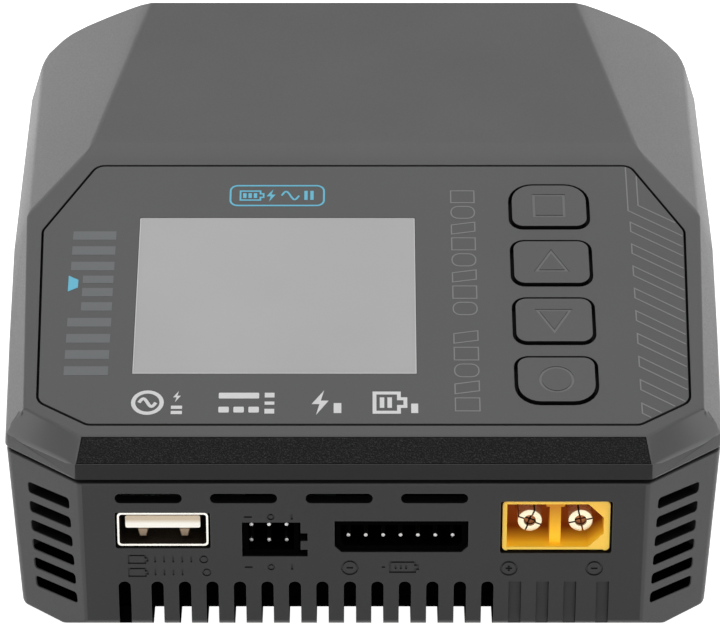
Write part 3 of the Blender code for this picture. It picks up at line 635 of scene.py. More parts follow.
THROUGH = 6.0           # depth of a cut that goes right through the front wall
front_holes = [mouth(frame_grown(*OUT_XT), THROUGH, 0.12), mouth(frame_grown(*USB), THROUGH, 0.12),
               mouth(key_slots, THROUGH, 0.08), mouth(balance_outline, THROUGH, 0.1)]
front_holes += [mouth(grown_rect(x, x + 9.6, 23.02, 24.6, 0.78, 6), THROUGH, 0.06) for x in (-35.55, -21.95, -8.3, 5.3)]
cut(lower, "front_holes", front_holes, FRONT)

SLOT_X = [-34.5] + [3.97 * (i - 7.5) for i in range(16)] + [34.5]
OPEN_SLOTS = 14         # the rest, beside the plug, are shallow
SLOT_W, SLOT_TOP = 1.75, 9.8


def floor_slot(x, r):
    def grown(g):
        half = SLOT_W / 2 + g
        return rect(x - half, x + half, -2.0, SLOT_TOP + g, [0.0, 0.0, r + g, r + g], 6)
    return grown


carve(lower, [skin("floor_slots", [mouth(floor_slot(x, 0.86), 8.3 if k else 2.6, 0.12)
                                   for k, x in enumerate(SLOT_X[:OPEN_SLOTS])], FRONT),
              skin("blind_slots", [mouth(floor_slot(x, 0.05), 0.95, 0.1) for x in SLOT_X[OPEN_SLOTS:]], FRONT)])

corner_slot = mouth(grown_rect(-4.3, 4.3, -0.87, 0.87, 0.5, 5), 4.0, 0.06)
corner_slots = []
for s in (1, -1):
    for i in range(6):
        middle = shift(s * (45.3 - 0.13 * i), yy(4.3 + 0.016 * i), 21.84 - 3.138 * i)
        place = middle @ rotation(42.6 * s, "Z") @ rotation(91.85, "X") @ rotation(-3 * s, "Z")
        corner_slots.append(placed(corner_slot, place))
cut(lower, "corner_slots", corner_slots)

REAR_OPENING = prism(rect(-41.5, 41.5, 5.0, 45.0, 0.6, 3), 49.6, 60.0)
cut(lower, "rear_opening", [REAR_OPENING], REAR)

# marks pressed into the front face: polarity signs and plain pictograms
MARK_W, MARK_D = 0.3, 0.22


def dash(x0, z0, x1, z1, width=MARK_W):
    return line([(x0, z0), (x1, z1)], width, False)


def ring_mark(x, z, r, sign):
    arm = r * 0.42
    bars = [dash(x - arm, z, x + arm, z)]
    if sign == "+":
        gap = MARK_W / 2 + 0.001        # the upright stops just short of the bar
        bars += [dash(x, z - arm, x, z - gap), dash(x, z + gap, x, z + arm)]
    return [line(circle(x, z, r, 36), MARK_W)] + bars


def bolt(x, z, h):
    """Lightning bolt of height h."""
    shape = [(0.12, 0.5), (-0.26, -0.06), (-0.02, -0.06), (-0.12, -0.5), (0.26, 0.08), (0.02, 0.08)]
    return [(x + a * h, z + b * h) for a, b in shape]


def cell(x, z, w, h):
    """Battery outline lying on its side."""
    left, right, low, high, tip = x - w / 2, x + w / 2, z - h / 2, z + h / 2, x + w / 2 + h / 4
    return [(left, low), (right, low), (right, z - h / 5), (tip, z - h / 5), (tip, z + h / 5), (right, z + h / 5),
            (right, high), (left, high)]


marks = ring_mark(-2.0, 12.2, 1.12, "-") + ring_mark(20.9, 12.1, 1.12, "+") + ring_mark(33.2, 12.1, 1.12, "-")
marks += [line(cell(5.6, 12.3, 3.6, 1.7), MARK_W)]
marks += [dash(x, 11.95, x, 12.65, 0.26) for x in (4.6, 5.35, 6.1)] + [dash(2.6, 12.3, 3.1, 12.3, 0.26)]
for row, z in enumerate((13.6, 11.4)):
    marks.append(line(cell(-32.6, z, 2.4, 1.3), 0.24))
    marks += [dash(-30.0 + 1.3 * k, z - 0.5, -30.0 + 1.3 * k, z + 0.5, 0.24) for k in range(5 - row)]
    marks.append(line(circle(-23.0 + 0.4 * row, z, 0.55, 16), 0.22))
for z in (20.75, 12.3):
    marks += [dash(-17.1, z, -16.0, z), line(circle(-13.3, z, 0.42, 14), 0.26), dash(-10.3, z - 0.45, -10.3, z + 0.45)]
cut(lower, "marks", [between(m, -MARK_D, 1.0) for m in marks], FRONT)
# walls of the slots, ports and pressed marks deeper than 0.27 mm get painted shade
paint_inside_shade(lower, lower_skin, 0.27, INSIDE_SHADE)
# flat front faces and the front faces below the plug get the darker copy, painted shade; deep faces low in the front
# slots get jet black, a deeper painted shade
front_shade, slot_shade = add_look(lower, CASE_FRONT_SHADE), add_look(lower, JET)
for face in lower.data.polygons:
    x, y, z = face.center / MM
    flat_front = face.normal.y < -0.99 and face.material_index == OUTSIDE
    under_plug = face.normal.y < -0.6 and 19.9 < x < 36.0 and z < 10.2 and y < yy(2.2)
    if flat_front or under_plug:
        face.material_index = front_shade
    elif face.material_index == HOLLOW and z < 12.0 and y < yy(16.0):
        face.material_index = slot_shade
stand(lower, CASE, ["lower_case"])

# lid
RIM = [(40.3, 2.4), (48.65, 7.45), (50.3, 44.1), (41.64, 57.2)]
BAND_CORNERS = [(41.0, -0.5), (51.55, 8.9)]


def band_corner():
    """Front corner of the lid at the top of its lower band, right side, as a rounded line."""
    outline = rounded([(0.0, -0.5)] + BAND_CORNERS + [(52.45, 43.0), (0.0, 43.0)], [0, 0, 1.6, 0, 0], 6)
    return [(x, y) for x, y in outline if x > 1.0 and y < 42.0]


def smooth_run(points, n=3):
    """Catmull-Rom line through the points, without its two ends."""
    out = []
    for a, b, c, d in zip(points, points[1:], points[2:], points[3:]):
        a, b, c, d = (Vector(p) for p in (a, b, c, d))
        for k in range(n):
            t = k / n
            out.append(tuple(0.5 * (2 * b + (c - a) * t + (2 * a - 5 * b + 4 * c - d) * t * t
                                    + (3 * b - a - 3 * c + d) * t ** 3)))
    return out + [points[-2]]


def panel_z(y):
    """Height of the tilted panel plane at a distance behind the front."""
    return PANEL_Z0 + (y - PANEL_Y0) * tan(radians(TILT))


LID_BASE = [(40.95, -0.5), (51.85, 9.55), (53.9, 100.3), (48.4, 107.3)]
LID_SIDE = [(52.1, 27.0, 36.3), (52.45, 43.0, 42.5), (53.8, 98.0, 42.5), (53.3, 102.0, 42.5), (50.2, 105.9, 43.5),
            (47.0, 107.3, 44.5)]
LID_REAR = [(52.3, 97.0, 47.9), (52.0, 99.6, 48.15), (51.3, 102.8, 48.6), (49.6, 105.1, 49.6), (47.6, 106.4, 50.8),
            (44.9, 106.7, 52.1), (41.5, 106.1, 53.9), (38.0, 105.3, 55.7), (34.3, 104.1, 57.3), (30.0, 103.0, 57.6)]
lid_points = [(x, y, SEAM_HIGH) for x, y in plan(LID_BASE, (1.2, 2.4, 6.0, 6.0), 6)]
lid_side = [(x, y, BAND_TOP) for x, y in band_corner()] + LID_SIDE + [(x, y, panel_z(y)) for x, y in RIM]
for s in (1, -1):
    lid_points += [(s * x, yy(y), z) for x, y, z in lid_side + smooth_run(LID_REAR, 2)]


def lid_rounding(middle, angle):
    """Rounding of the lid's edges; the short edges at the front corners stay sharp, where a mitre would spike."""
    x, y, z = abs(middle.x), middle.y + Y_SHIFT, middle.z
    if abs(y - RIM[-1][1]) < 1.0 and x < 20:
        return 2.6
    if angle < 14 or (y < 9.6 and x > 50.6 and 28.5 < z < 30.3):
        return 0.0
    if (x > 48.6 and y < 7.8 and z > 33.5) or (x > 40.3 and y < 0.4 and z < 29.8):
        return 0.0
    if z < 28.5:
        return 0.25
    if y < 9.5 and z > BAND_TOP + 0.3:
        return 0.5 if x > 48.9 else 0.3
    if y < 9.5:
        return 0.4
    return 0.35 if y > 99.0 else 0.45


CORNER_OUT = Vector((0.465, -0.711, 0.42))         # out of the right front corner facet


def corner_tool(s, n=12, m=6):
    """Everything outside the twisted facet between the band corner and the rim corner."""
    low = [Vector((x, yy(y), BAND_TOP)) for x, y in BAND_CORNERS]
    high = [Vector((x, yy(y), panel_z(y))) for x, y in RIM[:2]]
    points = []
    for lift in (-0.03, 3.0):
        for i in range(n + 1):
            for j in range(m + 1):
                a, b = -0.05 + 1.1 * i / n, -0.1 + 1.2 * j / m
                p = low[0].lerp(low[1], a).lerp(high[0].lerp(high[1], a), b) + CORNER_OUT * lift
                points.append((s * p.x, p.y, p.z))
    row, layer = m + 1, (n + 1) * (m + 1)
    faces = []
    for base in (0, layer):
        for i in range(n):
            for j in range(m):
                a = base + i * row + j
                faces += [[a, a + row, a + row + 1], [a, a + row + 1, a + 1]]
    border = ([i * row for i in range(n + 1)] + [n * row + j for j in range(1, m + 1)]
              + [i * row + m for i in range(n - 1, -1, -1)] + [j for j in range(m - 1, 0, -1)])
    for a, b in zip(border, border[1:] + border[:1]):
        faces += [[a, b, b + layer], [a, b + layer, a + layer]]
    return points, faces


upper = hull("upper_shell", lid_points)
carve(upper, [skin(f"corner_{s}", [corner_tool(s)]) for s in (1, -1)])
edge_round(upper, lid_rounding, 4)
upper_skin = upper.data.copy()
PANEL_NORMAL = PANEL.to_3x3() @ Vector((0, 0, 1))


def lid_depth(normal):
    if normal[2] < -0.9:
        return -6.0
    return 4.2 if Vector(normal).dot(PANEL_NORMAL) > 0.999 else WALL


cad_lid = [(x, y, z) for x, y, z in lid_points if z > SEAM_HIGH + 0.1]
cad_lid += [(x, y, SEAM_HIGH) for x, y in plan(LID_BASE, (1.2, 3.0, 6.0, 6.0), 2)]
carve(upper, [hull("lid_room", inset_corners(cad_lid, lid_depth))])
cut(upper, "rebate", [tube(seam_line(0.9), seam_line(2.6), 26.0, 28.9)])
cut(upper, "lid_posts", [prism(circle(x, y, 3.0), SEAM_HIGH, 34.0 if y < 0 else 48.9) for x, y in POSTS], None, "UNION")
cut(upper, "pilots", [prism(circle(x, y, 1.45, 20), 26.0, 33.0) for x, y in POSTS])

PLATE = [(39.5, 2.4), (46.8, 6.85), (47.85, 41.1), (40.3, 54.9)]
PLATE += [(-u, v) for u, v in reversed(PLATE)]
u0, u1, v0, v1 = LCD = (-33.45, 7.70, 12.2, 43.9)
KEY_U, KEY_W, KEY_H, KEY_TOP = 27.8, 11.1, 8.5, 0.26
KEYS = {"key_stop": 46.15, "key_up": 34.4, "key_down": 22.65, "key_enter": 10.9}


def plate_outline(grow, n=6):
    return rounded(moved_out(PLATE, grow), 2.0 + grow, n)


cut(upper, "pocket", [mouth(lambda g: plate_outline(0.18 + g), 1.9, 0.1)], PANEL)
key_window = rect(KEY_U - 7.2, KEY_U + 7.2, KEYS["key_enter"] - 6.2, KEYS["key_stop"] + 6.2, 1.5, 2)
carve(upper, [skin("windows", [prism(rect(u0 - 3.4, u1 + 3.4, v0 - 3.0, v1 + 3.0, 1.0, 2), -6.0, 0.5),
                               prism(key_window, -6.0, 0.5)], PANEL), skin("rear_opening", [REAR_OPENING], REAR)])


def strip_outline(g):
    return [(-40.75 - g, 0.16 - g), (40.75 + g, 0.16 - g), (40.05 + g, 3.98 + g), (-40.05 - g, 3.98 + g)]


cut(upper, "strip_seat", [mouth(lambda g: strip_outline(0.1 + g), 0.8, 0.03)], CHAMFER)
# faces deeper than 0.2 mm in the lid's openings get painted shade
paint_inside_shade(upper, upper_skin, 0.2, INSIDE_SHADE)
front_shade, painted_corner_light, band_side_shade = (add_look(upper, look) for look in (LID_FRONT_SHADE, LID_CORNER_LIGHT, CASE))
for face in upper.data.polygons:
    if face.material_index == HOLLOW:
        continue
    x, y, z = face.center / MM
    across = Vector((abs(face.normal.x), face.normal.y, face.normal.z))
    # front faces of the lower band get the darker copy: painted shade
    if across.y < -0.9 and z < BAND_TOP + 0.4:
        face.material_index = front_shade
    # front corner facets get the lighter copy: painted light
    elif y < yy(9.6) and abs(x) > 40.3 and across.dot(CORNER_OUT.normalized()) > 0.9:
        face.material_index = painted_corner_light
    # vertical faces of the band by the front corners get the darker lower-case plastic: painted shade
    elif y < yy(9.3) and z < BAND_TOP and abs(across.z) < 0.3:
        face.material_index = band_side_shade
stand(upper, LID, ["upper_case"], sharp=28)
stand(skin("grain_strip", [pillow(strip_outline, -0.75, 0.0, 0.12, 3)], CHAMFER), STRIP, ["front_strip"])


# ---- control panel, display and keys ----
def key_outline(name, grow=0.0, n=7):
    v = KEYS[name]
    w, h = KEY_W / 2 + grow, KEY_H / 2 + grow
    radii = {"key_stop": [1.6, 1.6, 3.2, 3.2], "key_enter": [3.2, 3.2, 1.6, 1.6]}.get(name, [1.6] * 4)
    return rect(KEY_U - w, KEY_U + w, v - h, v + h, [r + grow for r in radii], n)


plate = skin("panel_plate", [pillow(lambda g: plate_outline(-0.18 + g), -1.5, 0.0, 0.12, 3)], PANEL)
plate_skin = plate.data.copy()
plate_cuts = [mouth(grown_rect(*LCD, 0.2, 3), 4.0, 0.05, 1.0)]
plate_cuts += [mouth(lambda g, k=k: key_outline(k, 0.54 + g), 4.0, 0.05, 1.0) for k in KEYS]
cut(plate, "plate_cuts", plate_cuts, PANEL)
# walls of the display and key openings deeper than 0.12 mm get painted shade
paint_inside_shade(plate, plate_skin, 0.12, INSIDE_SHADE)
stand(plate, PANEL_LOOK, ["control_panel"])

pane = grown_rect(u0 + 0.04, u1 - 0.04, v0 + 0.04, v1 - 0.04, 0.2, 3, 0)
stand(skin("display_cover", [pillow(pane, -1.4, -0.06, 0.1, 3)], PANEL), FILM, ["lcd_pane"])

SYMBOLS = {"key_stop": [(-2.25, -2.2), (2.25, -2.2), (2.25, 2.2), (-2.25, 2.2)],
           "key_up": [(-2.25, -1.75), (2.25, -1.75), (0.0, 2.2)],
           "key_down": [(-2.4, 1.95), (0.0, -2.3), (2.4, 1.95)],
           "key_enter": circle(0, 0, 2.35, 48)}
for key, v in KEYS.items():
    cap = skin(key + "_cap", [pillow(lambda g: key_outline(key, g), -1.9, KEY_TOP, 0.32, 5)], PANEL)
    outline = [(KEY_U + a, v + b) for a, b in SYMBOLS[key]]
    carve(cap, [skin("flange", [prism(rect(KEY_U - 6.4, KEY_U + 6.4, v - 5.05, v + 5.05, 0.8, 3), -3.0, -1.85)], PANEL),
                skin("stem", [prism(circle(KEY_U, v, 1.5, 20), -4.3, -2.9)], PANEL)], "UNION")
    cut(cap, "symbol", [between(line(outline, 0.42), KEY_TOP - 0.1, KEY_TOP + 1.0)], PANEL)
    top = skin("key_top", [prism(key_outline(key), -0.2, KEY_TOP)], PANEL)
    # the cap's walls more than 0.3 mm below its top get painted shade
    paint_inside_shade(cap, top.data, 0.3, INSIDE_SHADE)
    drop(top)
    mark = add_look(cap, KEY_MARK)
    for face in cap.data.polygons:
        depth = (PANEL.inverted() @ (face.center / MM)).z
        if face.normal.dot(PANEL_NORMAL) > 0.99 and KEY_TOP - 0.13 < depth < KEY_TOP - 0.07:
            face.material_index = mark
    stand(cap, KEY_LOOK, [key], body=key)


# ---- printing on the panel, and a painted highlight along the display's edge ----
def ink_and_highlight(name, shapes, look):
    stand(skin(name, [between(s, -0.03, 0.025) for s in shapes], PANEL), look)


def fill(points):
    return prism(points, 0.0, 1.0)


def bars(*boxes):
    return [fill(rect(*box)) for box in boxes]


def wave(x, y, w, h, n=16):
    return [(x + w * k / n, y + h / 2 * sin(2 * pi * k / n)) for k in range(n + 1)]


badge = [line(rect(-20.0, -5.95, 46.4, 50.6, 1.1, 5), 0.28), line(cell(-17.0, 48.5, 3.0, 1.9), 0.26),
         fill(bolt(-13.9, 48.5, 2.6)), line(wave(-12.3, 48.5, 2.6, 1.7), 0.3, False)]
badge += bars(*((-18.1 + 0.8 * k, -17.6 + 0.8 * k, 48.0, 49.0) for k in range(3)))
badge += bars(*((-8.9 + 0.9 * k, -8.4 + 0.9 * k, 47.6, 49.5) for k in range(2)))
ink_and_highlight("print_cyan", badge + [fill([(-43.5, 28.6), (-42.05, 29.4), (-42.05, 30.95), (-43.5, 31.8)])], INK_CYAN)

COLUMN_V, COLUMN_LEAN = (11.9, 15.1, 18.3, 21.5, 32.9, 36.1, 39.2), 0.01
column = bars(*((-43.3 + COLUMN_LEAN * k, -36.9 + COLUMN_LEAN * k, v, v + 1.75) for k, v in enumerate(COLUMN_V)))
column += bars(*((-41.4, -36.9, low, high) for low, high in ((24.7, 26.4), (27.6, 29.3), (30.3, 31.8))))
ink_and_highlight("print_grey", column, INK_GREY)

icons = [line(circle(-31.0, 6.6, 2.05, 28), 0.6), line(wave(-32.2, 6.6, 2.4, 1.5), 0.5, False)]
icons += [fill(bolt(-26.8, 7.75, 2.1))] + bars((-27.6, -26.0, 4.4, 5.0), (-27.6, -26.0, 5.4, 6.0))
icons += bars((-20.8, -15.0, 7.4, 8.5, 0.15, 2))
icons += bars(*((-20.8 + 2.15 * k, -19.3 + 2.15 * k, 4.7, 5.8, 0.15, 2) for k in range(3)))
icons += bars(*((-14.2, -12.8, low, high) for low, high in ((7.6, 8.5), (6.2, 6.8), (4.5, 5.4))))
icons += [fill(bolt(-6.25, 6.6, 4.7))] + bars((-4.3, -3.2, 4.6, 6.5)) + [line(cell(3.3, 6.6, 3.5, 3.7), 0.55)]
icons += bars((2.3, 2.95, 5.6, 7.6), (3.4, 4.05, 5.6, 7.6), (6.8, 7.8, 4.6, 6.4))
ink_and_highlight("print_white", icons, INK_WHITE)
# line inside the display's left, bottom and right edges, where the window's wall catches light: painted highlight
highlight_line = [(u0 + 0.15, v1 - 0.3), (u0 + 0.15, v0 + 0.12), (u1 - 0.15, v0 + 0.12), (u1 - 0.15, v1 - 0.3)]
ink_and_highlight("display_edge_painted_highlight", [line(highlight_line, 0.16, False)], DISPLAY_EDGE_HIGHLIGHT)

LETTER_U, LETTER_LEAN, LETTER_HALF, LETTER_H = 14.9, 0.001, 1.75, 2.5
HAIR = 0.19             # line width of the outlined print
letters = []
v = 5.0
for k in range(13):
    if k == 5:
        v += 2.4        # wider gap after the fifth outlined shape
    u, top = LETTER_U - LETTER_LEAN * v, v + LETTER_H
    left, right = u - LETTER_HALF, u + LETTER_HALF
    box = [(left, v), (right, v), (right, top), (left, top)]
    if k % 3 == 1:
        box = [(left, v), (right, v + 0.6), (right, top), (left, top - 0.6)]
    elif k % 3 == 2:
        box = rounded(box, 1.1, 5)
    letters.append(line(box, HAIR))
    v += 3.3

HATCH_U = 39.85
hatch = []
edge = moved_out(PLATE, -0.32)
slope = tan(radians(-34.0))


def inside(u, v):
    """Whether a point is on the right part of the plate."""
    sides = zip(edge, edge[1:] + edge[:1])
    return all((bu - au) * (v - av) - (bv - av) * (u - au) >= 0 for (au, av), (bu, bv) in sides)


def run(u, v, du, dv, step=0.02):
    """End of a line that starts inside the plate and stops at its edge."""
    while inside(u, v):
        u, v = u + du * step, v + dv * step
    return u, v


for k in range(9):
    high, low, u = 42.9 - 4.55 * k, 40.95 - 4.55 * k, HATCH_U
    if not inside(HATCH_U, low):
        low, u = 4.3, HATCH_U + 0.3       # the lowest mark is cut short by the plate's edge
    hatch.append([run(HATCH_U, high, 1.0, slope), (HATCH_U, high), (u, low), run(u, low, 1.0, slope)])
for corner in ((39.65, 45.3), (41.2, 46.4)):
    hatch.append([run(*corner, 0.0, 1.0), corner, run(*corner, 1.0, slope)])
ink_and_highlight("outline_print", letters + [line(points, HAIR, False) for points in hatch], INK_LINE)


# ---- front ports ----
def facing(y):
    """Front-facing frame whose surface is at that distance behind the front plane."""
    return shift(0, y, 0) @ rotation(90, "X")


def plug_well(x0, x1, z0, z1, chamfer=2.2):
    """Well of a plug: square on one side, two sloped corners on the other."""
    x0, x1, z0, z1 = x0 + 0.65, x1 - 0.9, z0 + 0.6, z1 - 0.5
    return [(x0, z0), (x1 - chamfer, z0), (x1, z0 + chamfer), (x1, z1 - chamfer), (x1 - chamfer, z1), (x0, z1)]


def plug(node, place, flip=1):
    """Plug housing with rounded lips, a rib between its wells, and two sprung barrel pins."""
    x0, x1, y0, y1, z0, z1 = node_box(node)
    if flip < 0:
        x0, x1 = -x1, -x0
    depth = y1 - y0
    body = skin(node + "_housing", [pillow(grown_rect(x0, x1, z0, z1, 0.6, 4, 0), -depth, 0.0, 0.22, 3)], place)
    well = plug_well(x0, x1, z0, z1)
    outer = body.data.copy()
    carve(body, [skin("well", [mouth(lambda g: moved_out(well, g), 7.0, 0.12, 2.0, 3)], place),
                 skin("foot_gap", [prism(rect(x0 + 0.7, x1 - 0.9, z0 - 1.0, z0 + 0.13), -4.0, 1.0)], place)])
    middle, zc = (x0 + x1) / 2 - 0.1, (z0 + z1) / 2
    rib = rect(middle - 0.8, middle + 0.8, z0 + 0.4, z1 - 0.9, 0.2, 2)
    rib_head = rect(middle - 1.35, middle + 1.35, z1 - 1.3, z1 - 0.3, 0.2, 2)
    carve(body, [skin("rib", [prism(rib, -7.5, -1.0)], place),
                 skin("rib_head", [prism(rib_head, -7.6, -0.8)], place)], "UNION")
    pins = [(name, sum(v * flip for v in node_box(f"{node}_{name}")[:2]) / 2) for name in ("neg", "pos")]
    cut(body, "ways", [prism(circle(x, zc, 2.0), -depth - 1.0, -6.0) for _, x in pins], place)
    # the wells' walls and floors get the painted shade and painted glow
    paint_inside_shade(body, outer, 0.2, WELL_SHADE_GLOW)
    stand(body, PLUG, [node])
    for turn, (name, x) in zip((-22, 12), pins):
        where = place @ shift(x, zc, 0)
        barrel = lathe([(0, -11.0), (1.72, -11.0), (1.75, -10.8), (1.75, -1.75), (1.72, -1.64), (1.65, -1.6),
                        (0, -1.6)])
        pin = skin(f"{node}_{name}_pin", [barrel], where)
        solid_pin = pin.data.copy()
        slit = prism(rect(-0.12, 0.12, -3.0, 3.0), -6.5, -1.0)
        bore = lathe([(0, -2.2), (0.82, -2.2), (0.84, -2.15), (0.84, -1.9), (0.9, -1.57), (0.9, -1.0), (0, -1.0)], 28)
        carve(pin, [skin("bore", [bore], where), skin("slit_a", [placed(slit, rotation(turn, "Z"))], where),
                    skin("slit_b", [placed(slit, rotation(turn + 90, "Z"))], where)])
        # slits and bore get dark brown, and the bore's floor red-brown: painted shade
        paint_inside_shade(pin, solid_pin, 0.16, PIN_BORE_SHADE)
        bore_floor = add_look(pin, BORE_FLOOR_SHADE)
        for face in pin.data.polygons:
            if face.normal.y < -0.9 and face.center.y > (where.translation.y + 2.1) * MM:
                face.material_index = bore_floor
        stand(pin, GOLD, [f"{node}_{name}"])


plug("output_plug", facing(PLUG_FACE))

x0, x1, z0, z1 = USB
usb_at = facing(node_box("usb_shell")[2])
usb = skin("usb_socket", [pillow(grown_rect(*USB, 0.55, 5, 0), -13.5, 0.0, 0.1, 2)], usb_at)
usb_skin = usb.data.copy()
cut(usb, "usb_room", [mouth(grown_rect(x0 + 0.3, x1 - 0.3, z0 + 0.3, z1 - 0.3, 0.4, 5, 0), 12.8, 0.08, 2.0, 2)], usb_at)
# the socket's inner walls get painted shade
paint_inside_shade(usb, usb_skin, 0.2, USB_INSIDE_SHADE)
stand(usb, TIN, ["usb_shell"])
tongue = pillow(grown_rect(*port_frame("usb_tongue"), 0.25, 4, 0), -12.0, 0.0, 0.25, 4)
stand(skin("usb_tongue_block", [tongue], facing(node_box("usb_tongue")[2])), IVORY, ["usb_tongue"])


def spring_outline(x, low=16.55, high=17.95):
    return [[(x - a, low + up), (x + a, low + up), (x + b, high - up), (x - b, high - up)]
            for a, b, up in ((0.5, 0.82, 0.0), (0.38, 0.66, 0.15))]


springs = []
for x in (x0 + 3.6, x1 - 3.45):
    wide, narrow = spring_outline(x)
    springs.append(loft([(wide, -5.0), (wide, -1.45), (narrow, -1.3)]))
stand(skin("usb_springs", springs, usb_at), SPRING)


def open_header(node, name, outline, columns, rows, tip, notch=(), depth=7.8):
    """Open box of black plastic and its round pins, bright at their tips and dark along their sides, which is painted
    shade; notch is cut out of the box's walls.
    """
    _, _, y0, y1, _, _ = node_box(node)
    place = facing(y0)
    body = skin(name, [prism(outline(-0.1), y0 - y1, -0.3)], place)
    cut(body, "room", [mouth(lambda g: moved_out(outline(-0.1), -0.7 + g), depth, 0.1, 2.0, 2)], place)
    if notch:
        cut(body, "notch", [prism(notch, -2.7, 1.0)], place)
    stand(body, JET, [node])
    pin = lathe([(0, -depth - 0.5), (0.31, -depth - 0.5), (0.31, -tip - 0.2), (0.27, -tip - 0.07), (0.16, -tip),
                 (0, -tip)], 20)
    pins = skin(name + "_pins", [placed(pin, shift(x, z, 0)) for x in columns for z in rows], place)
    # front-facing tip faces stay tin, the sides get painted shade
    tips, sides = add_look(pins, PIN_TIN), add_look(pins, PIN_SIDE_SHADE)
    for face in pins.data.polygons:
        face.material_index = tips if face.normal.y < -0.4 else sides
    stand(pins, PIN_TIN)


open_header("signal_header", "signal_box", grown_rect(*HEAD, 0.0, 6, 0), (-16.16, -13.62, -11.08), (15.64, 18.18), 2.05,
            rect(HEAD[0] + 0.75, HEAD[1] - 0.75, HEAD[3] - 1.5, HEAD[3] + 1.0))
open_header("balance_port", "balance_box", lambda g: balance_outline(g, 0.0), [-2.2 + 2.5 * i for i in range(7)],
            (16.65,), 1.65)


# ---- rear plate, inlets, fan, screws and feet ----
def mirrored(x0, x1, z0, z1):
    """A frame box as it is seen from the rear."""
    return -x1, -x0, z0, z1


def behind(b, y=None):
    """Rear-facing frame at the middle of a box, on its rear face or at another y."""
    x, _, z = middle_of(b)
    return REAR @ shift(-x, z, b[3] if y is None else y)


FAN_X, _, FAN_Z = middle_of(node_box("fan_frame"))
plate_box = node_box("rear_plate")
rear_at = REAR @ shift(0, 0, plate_box[3])
rear_outline = grown_rect(*mirrored(*port_frame("rear_plate")), 0.5, 4, 0)
rear = skin("rear_panel", [pillow(rear_outline, plate_box[2] - plate_box[3], 0.0, 0.3, 3)], rear_at)
GRILLE_R, GRILLE_STEP = 18.4, 4.0
grille = []
for i in range(-4, 5):
    x = -FAN_X + GRILLE_STEP * i
    reach = sqrt(GRILLE_R ** 2 - (GRILLE_STEP * i) ** 2) - 1.0
    grille.append(mouth(grown_rect(x - 1.2, x + 1.2, FAN_Z - reach, FAN_Z + reach, 1.15, 6), 4.0, 0.3))
for k in range(1, 5):
    x, _, z = middle_of(node_box(f"fan_screw_{k}"))
    grille.append(mouth(lambda g, x=x, z=z: circle(-x, z, 1.8 + g, 24), 4.0, 0.15))
for node, r in (("input_plug", 0.8), ("ac_inlet", 3.0)):
    grille.append(mouth(frame_grown(*mirrored(*port_frame(node)), 0.3, r + 0.3, 6), 4.0, 0.15))
cut(rear, "grille", grille, rear_at)
stand(rear, REAR_LOOK, ["rear_plate"])

plug("input_plug", REAR @ shift(0, 0, node_box("input_plug")[3]), -1)

ac_box = node_box("ac_inlet")
ac_at = behind(ac_box)
ac_w, ac_h = (ac_box[1] - ac_box[0]) / 2, (ac_box[5] - ac_box[4]) / 2
ac_outline = grown_rect(-ac_w, ac_w, -ac_h, ac_h, 3.0, 8, 0)
inlet = skin("mains_inlet", [pillow(ac_outline, ac_box[2] - ac_box[3], 0.0, 0.4, 4)], ac_at)


def figure_eight(g, n=20):
    """Two overlapping circles with a soft waist."""
    r = 3.85 + g
    out = []
    for cx, start in ((4.1, -128), (-4.1, 52)):
        turns = [radians(start + 256 * k / n) for k in range(n + 1)]
        out += [(cx + r * cos(t), r * sin(t)) for t in turns]
    return out


cut(inlet, "ac_well", [mouth(figure_eight, 10.4, 0.25)], ac_at)
stand(inlet, PORT, ["ac_inlet"])
for sign in ("a", "b"):
    b = node_box(f"ac_pin_{sign}")
    r, long = (b[1] - b[0]) / 2, b[3] - b[2]
    contact = lathe([(0, -long), (r, -long), (r, -0.9), (r * 0.93, -0.45), (r * 0.75, -0.15), (r * 0.45, -0.02),
                     (0, 0)], 28)
    stand(skin(f"mains_pin_{sign}", [contact], behind(b)), TIN, [f"ac_pin_{sign}"])


def blade(turn):
    """Curved, twisted fan blade from the hub to the tip."""
    stations, steps = 7, 9
    points = []
    for j in range(stations):
        t = j / (stations - 1)
        r = 8.2 + 9.8 * t
        pitch = radians(48 - 17 * t)
        chord = 8.6 + 1.2 * t
        for side in (1, -1):
            for i in range(steps):
                s = i / (steps - 1) - 0.5
                camber = 0.9 * (0.25 - s * s) * 4 * 0.55
                half = side * 0.42 * sqrt(max(0.05, 1 - (2 * s) ** 4))
                across = s * chord * cos(pitch) - (camber + half) * sin(pitch)
                up = s * chord * sin(pitch) + (camber + half) * cos(pitch)
                a = turn + across / r + 0.22 * t
                points.append((r * cos(a), r * sin(a), max(-3.85, min(3.85, up))))
    faces = []
    ring = 2 * steps
    order = list(range(steps)) + [steps + i for i in reversed(range(steps))]
    for j in range(stations - 1):
        for k in range(ring):
            a, b = order[k], order[(k + 1) % ring]
            faces.append([j * ring + a, j * ring + b, (j + 1) * ring + b, (j + 1) * ring + a])
    faces += [order[::-1], [(stations - 1) * ring + k for k in order]]
    return points, faces


rotor_box = node_box("fan_rotor")
rotor_at = behind(rotor_box, middle_of(rotor_box)[1])
hub = lathe([(0, -3.7), (8.5, -3.7), (8.8, -3.4), (8.8, 2.6), (8.6, 3.1), (8.1, 3.4), (3.2, 3.4), (3.0, 3.2),
             (0, 3.2)], 48)
rotor = skin("fan_wheel", [hub], rotor_at)
carve(rotor, [skin(f"blade_{k}", [blade(2 * pi * k / 7)], rotor_at) for k in range(7)], "UNION")
stand(rotor, REAR_LOOK, ["fan_rotor"], body="fan")


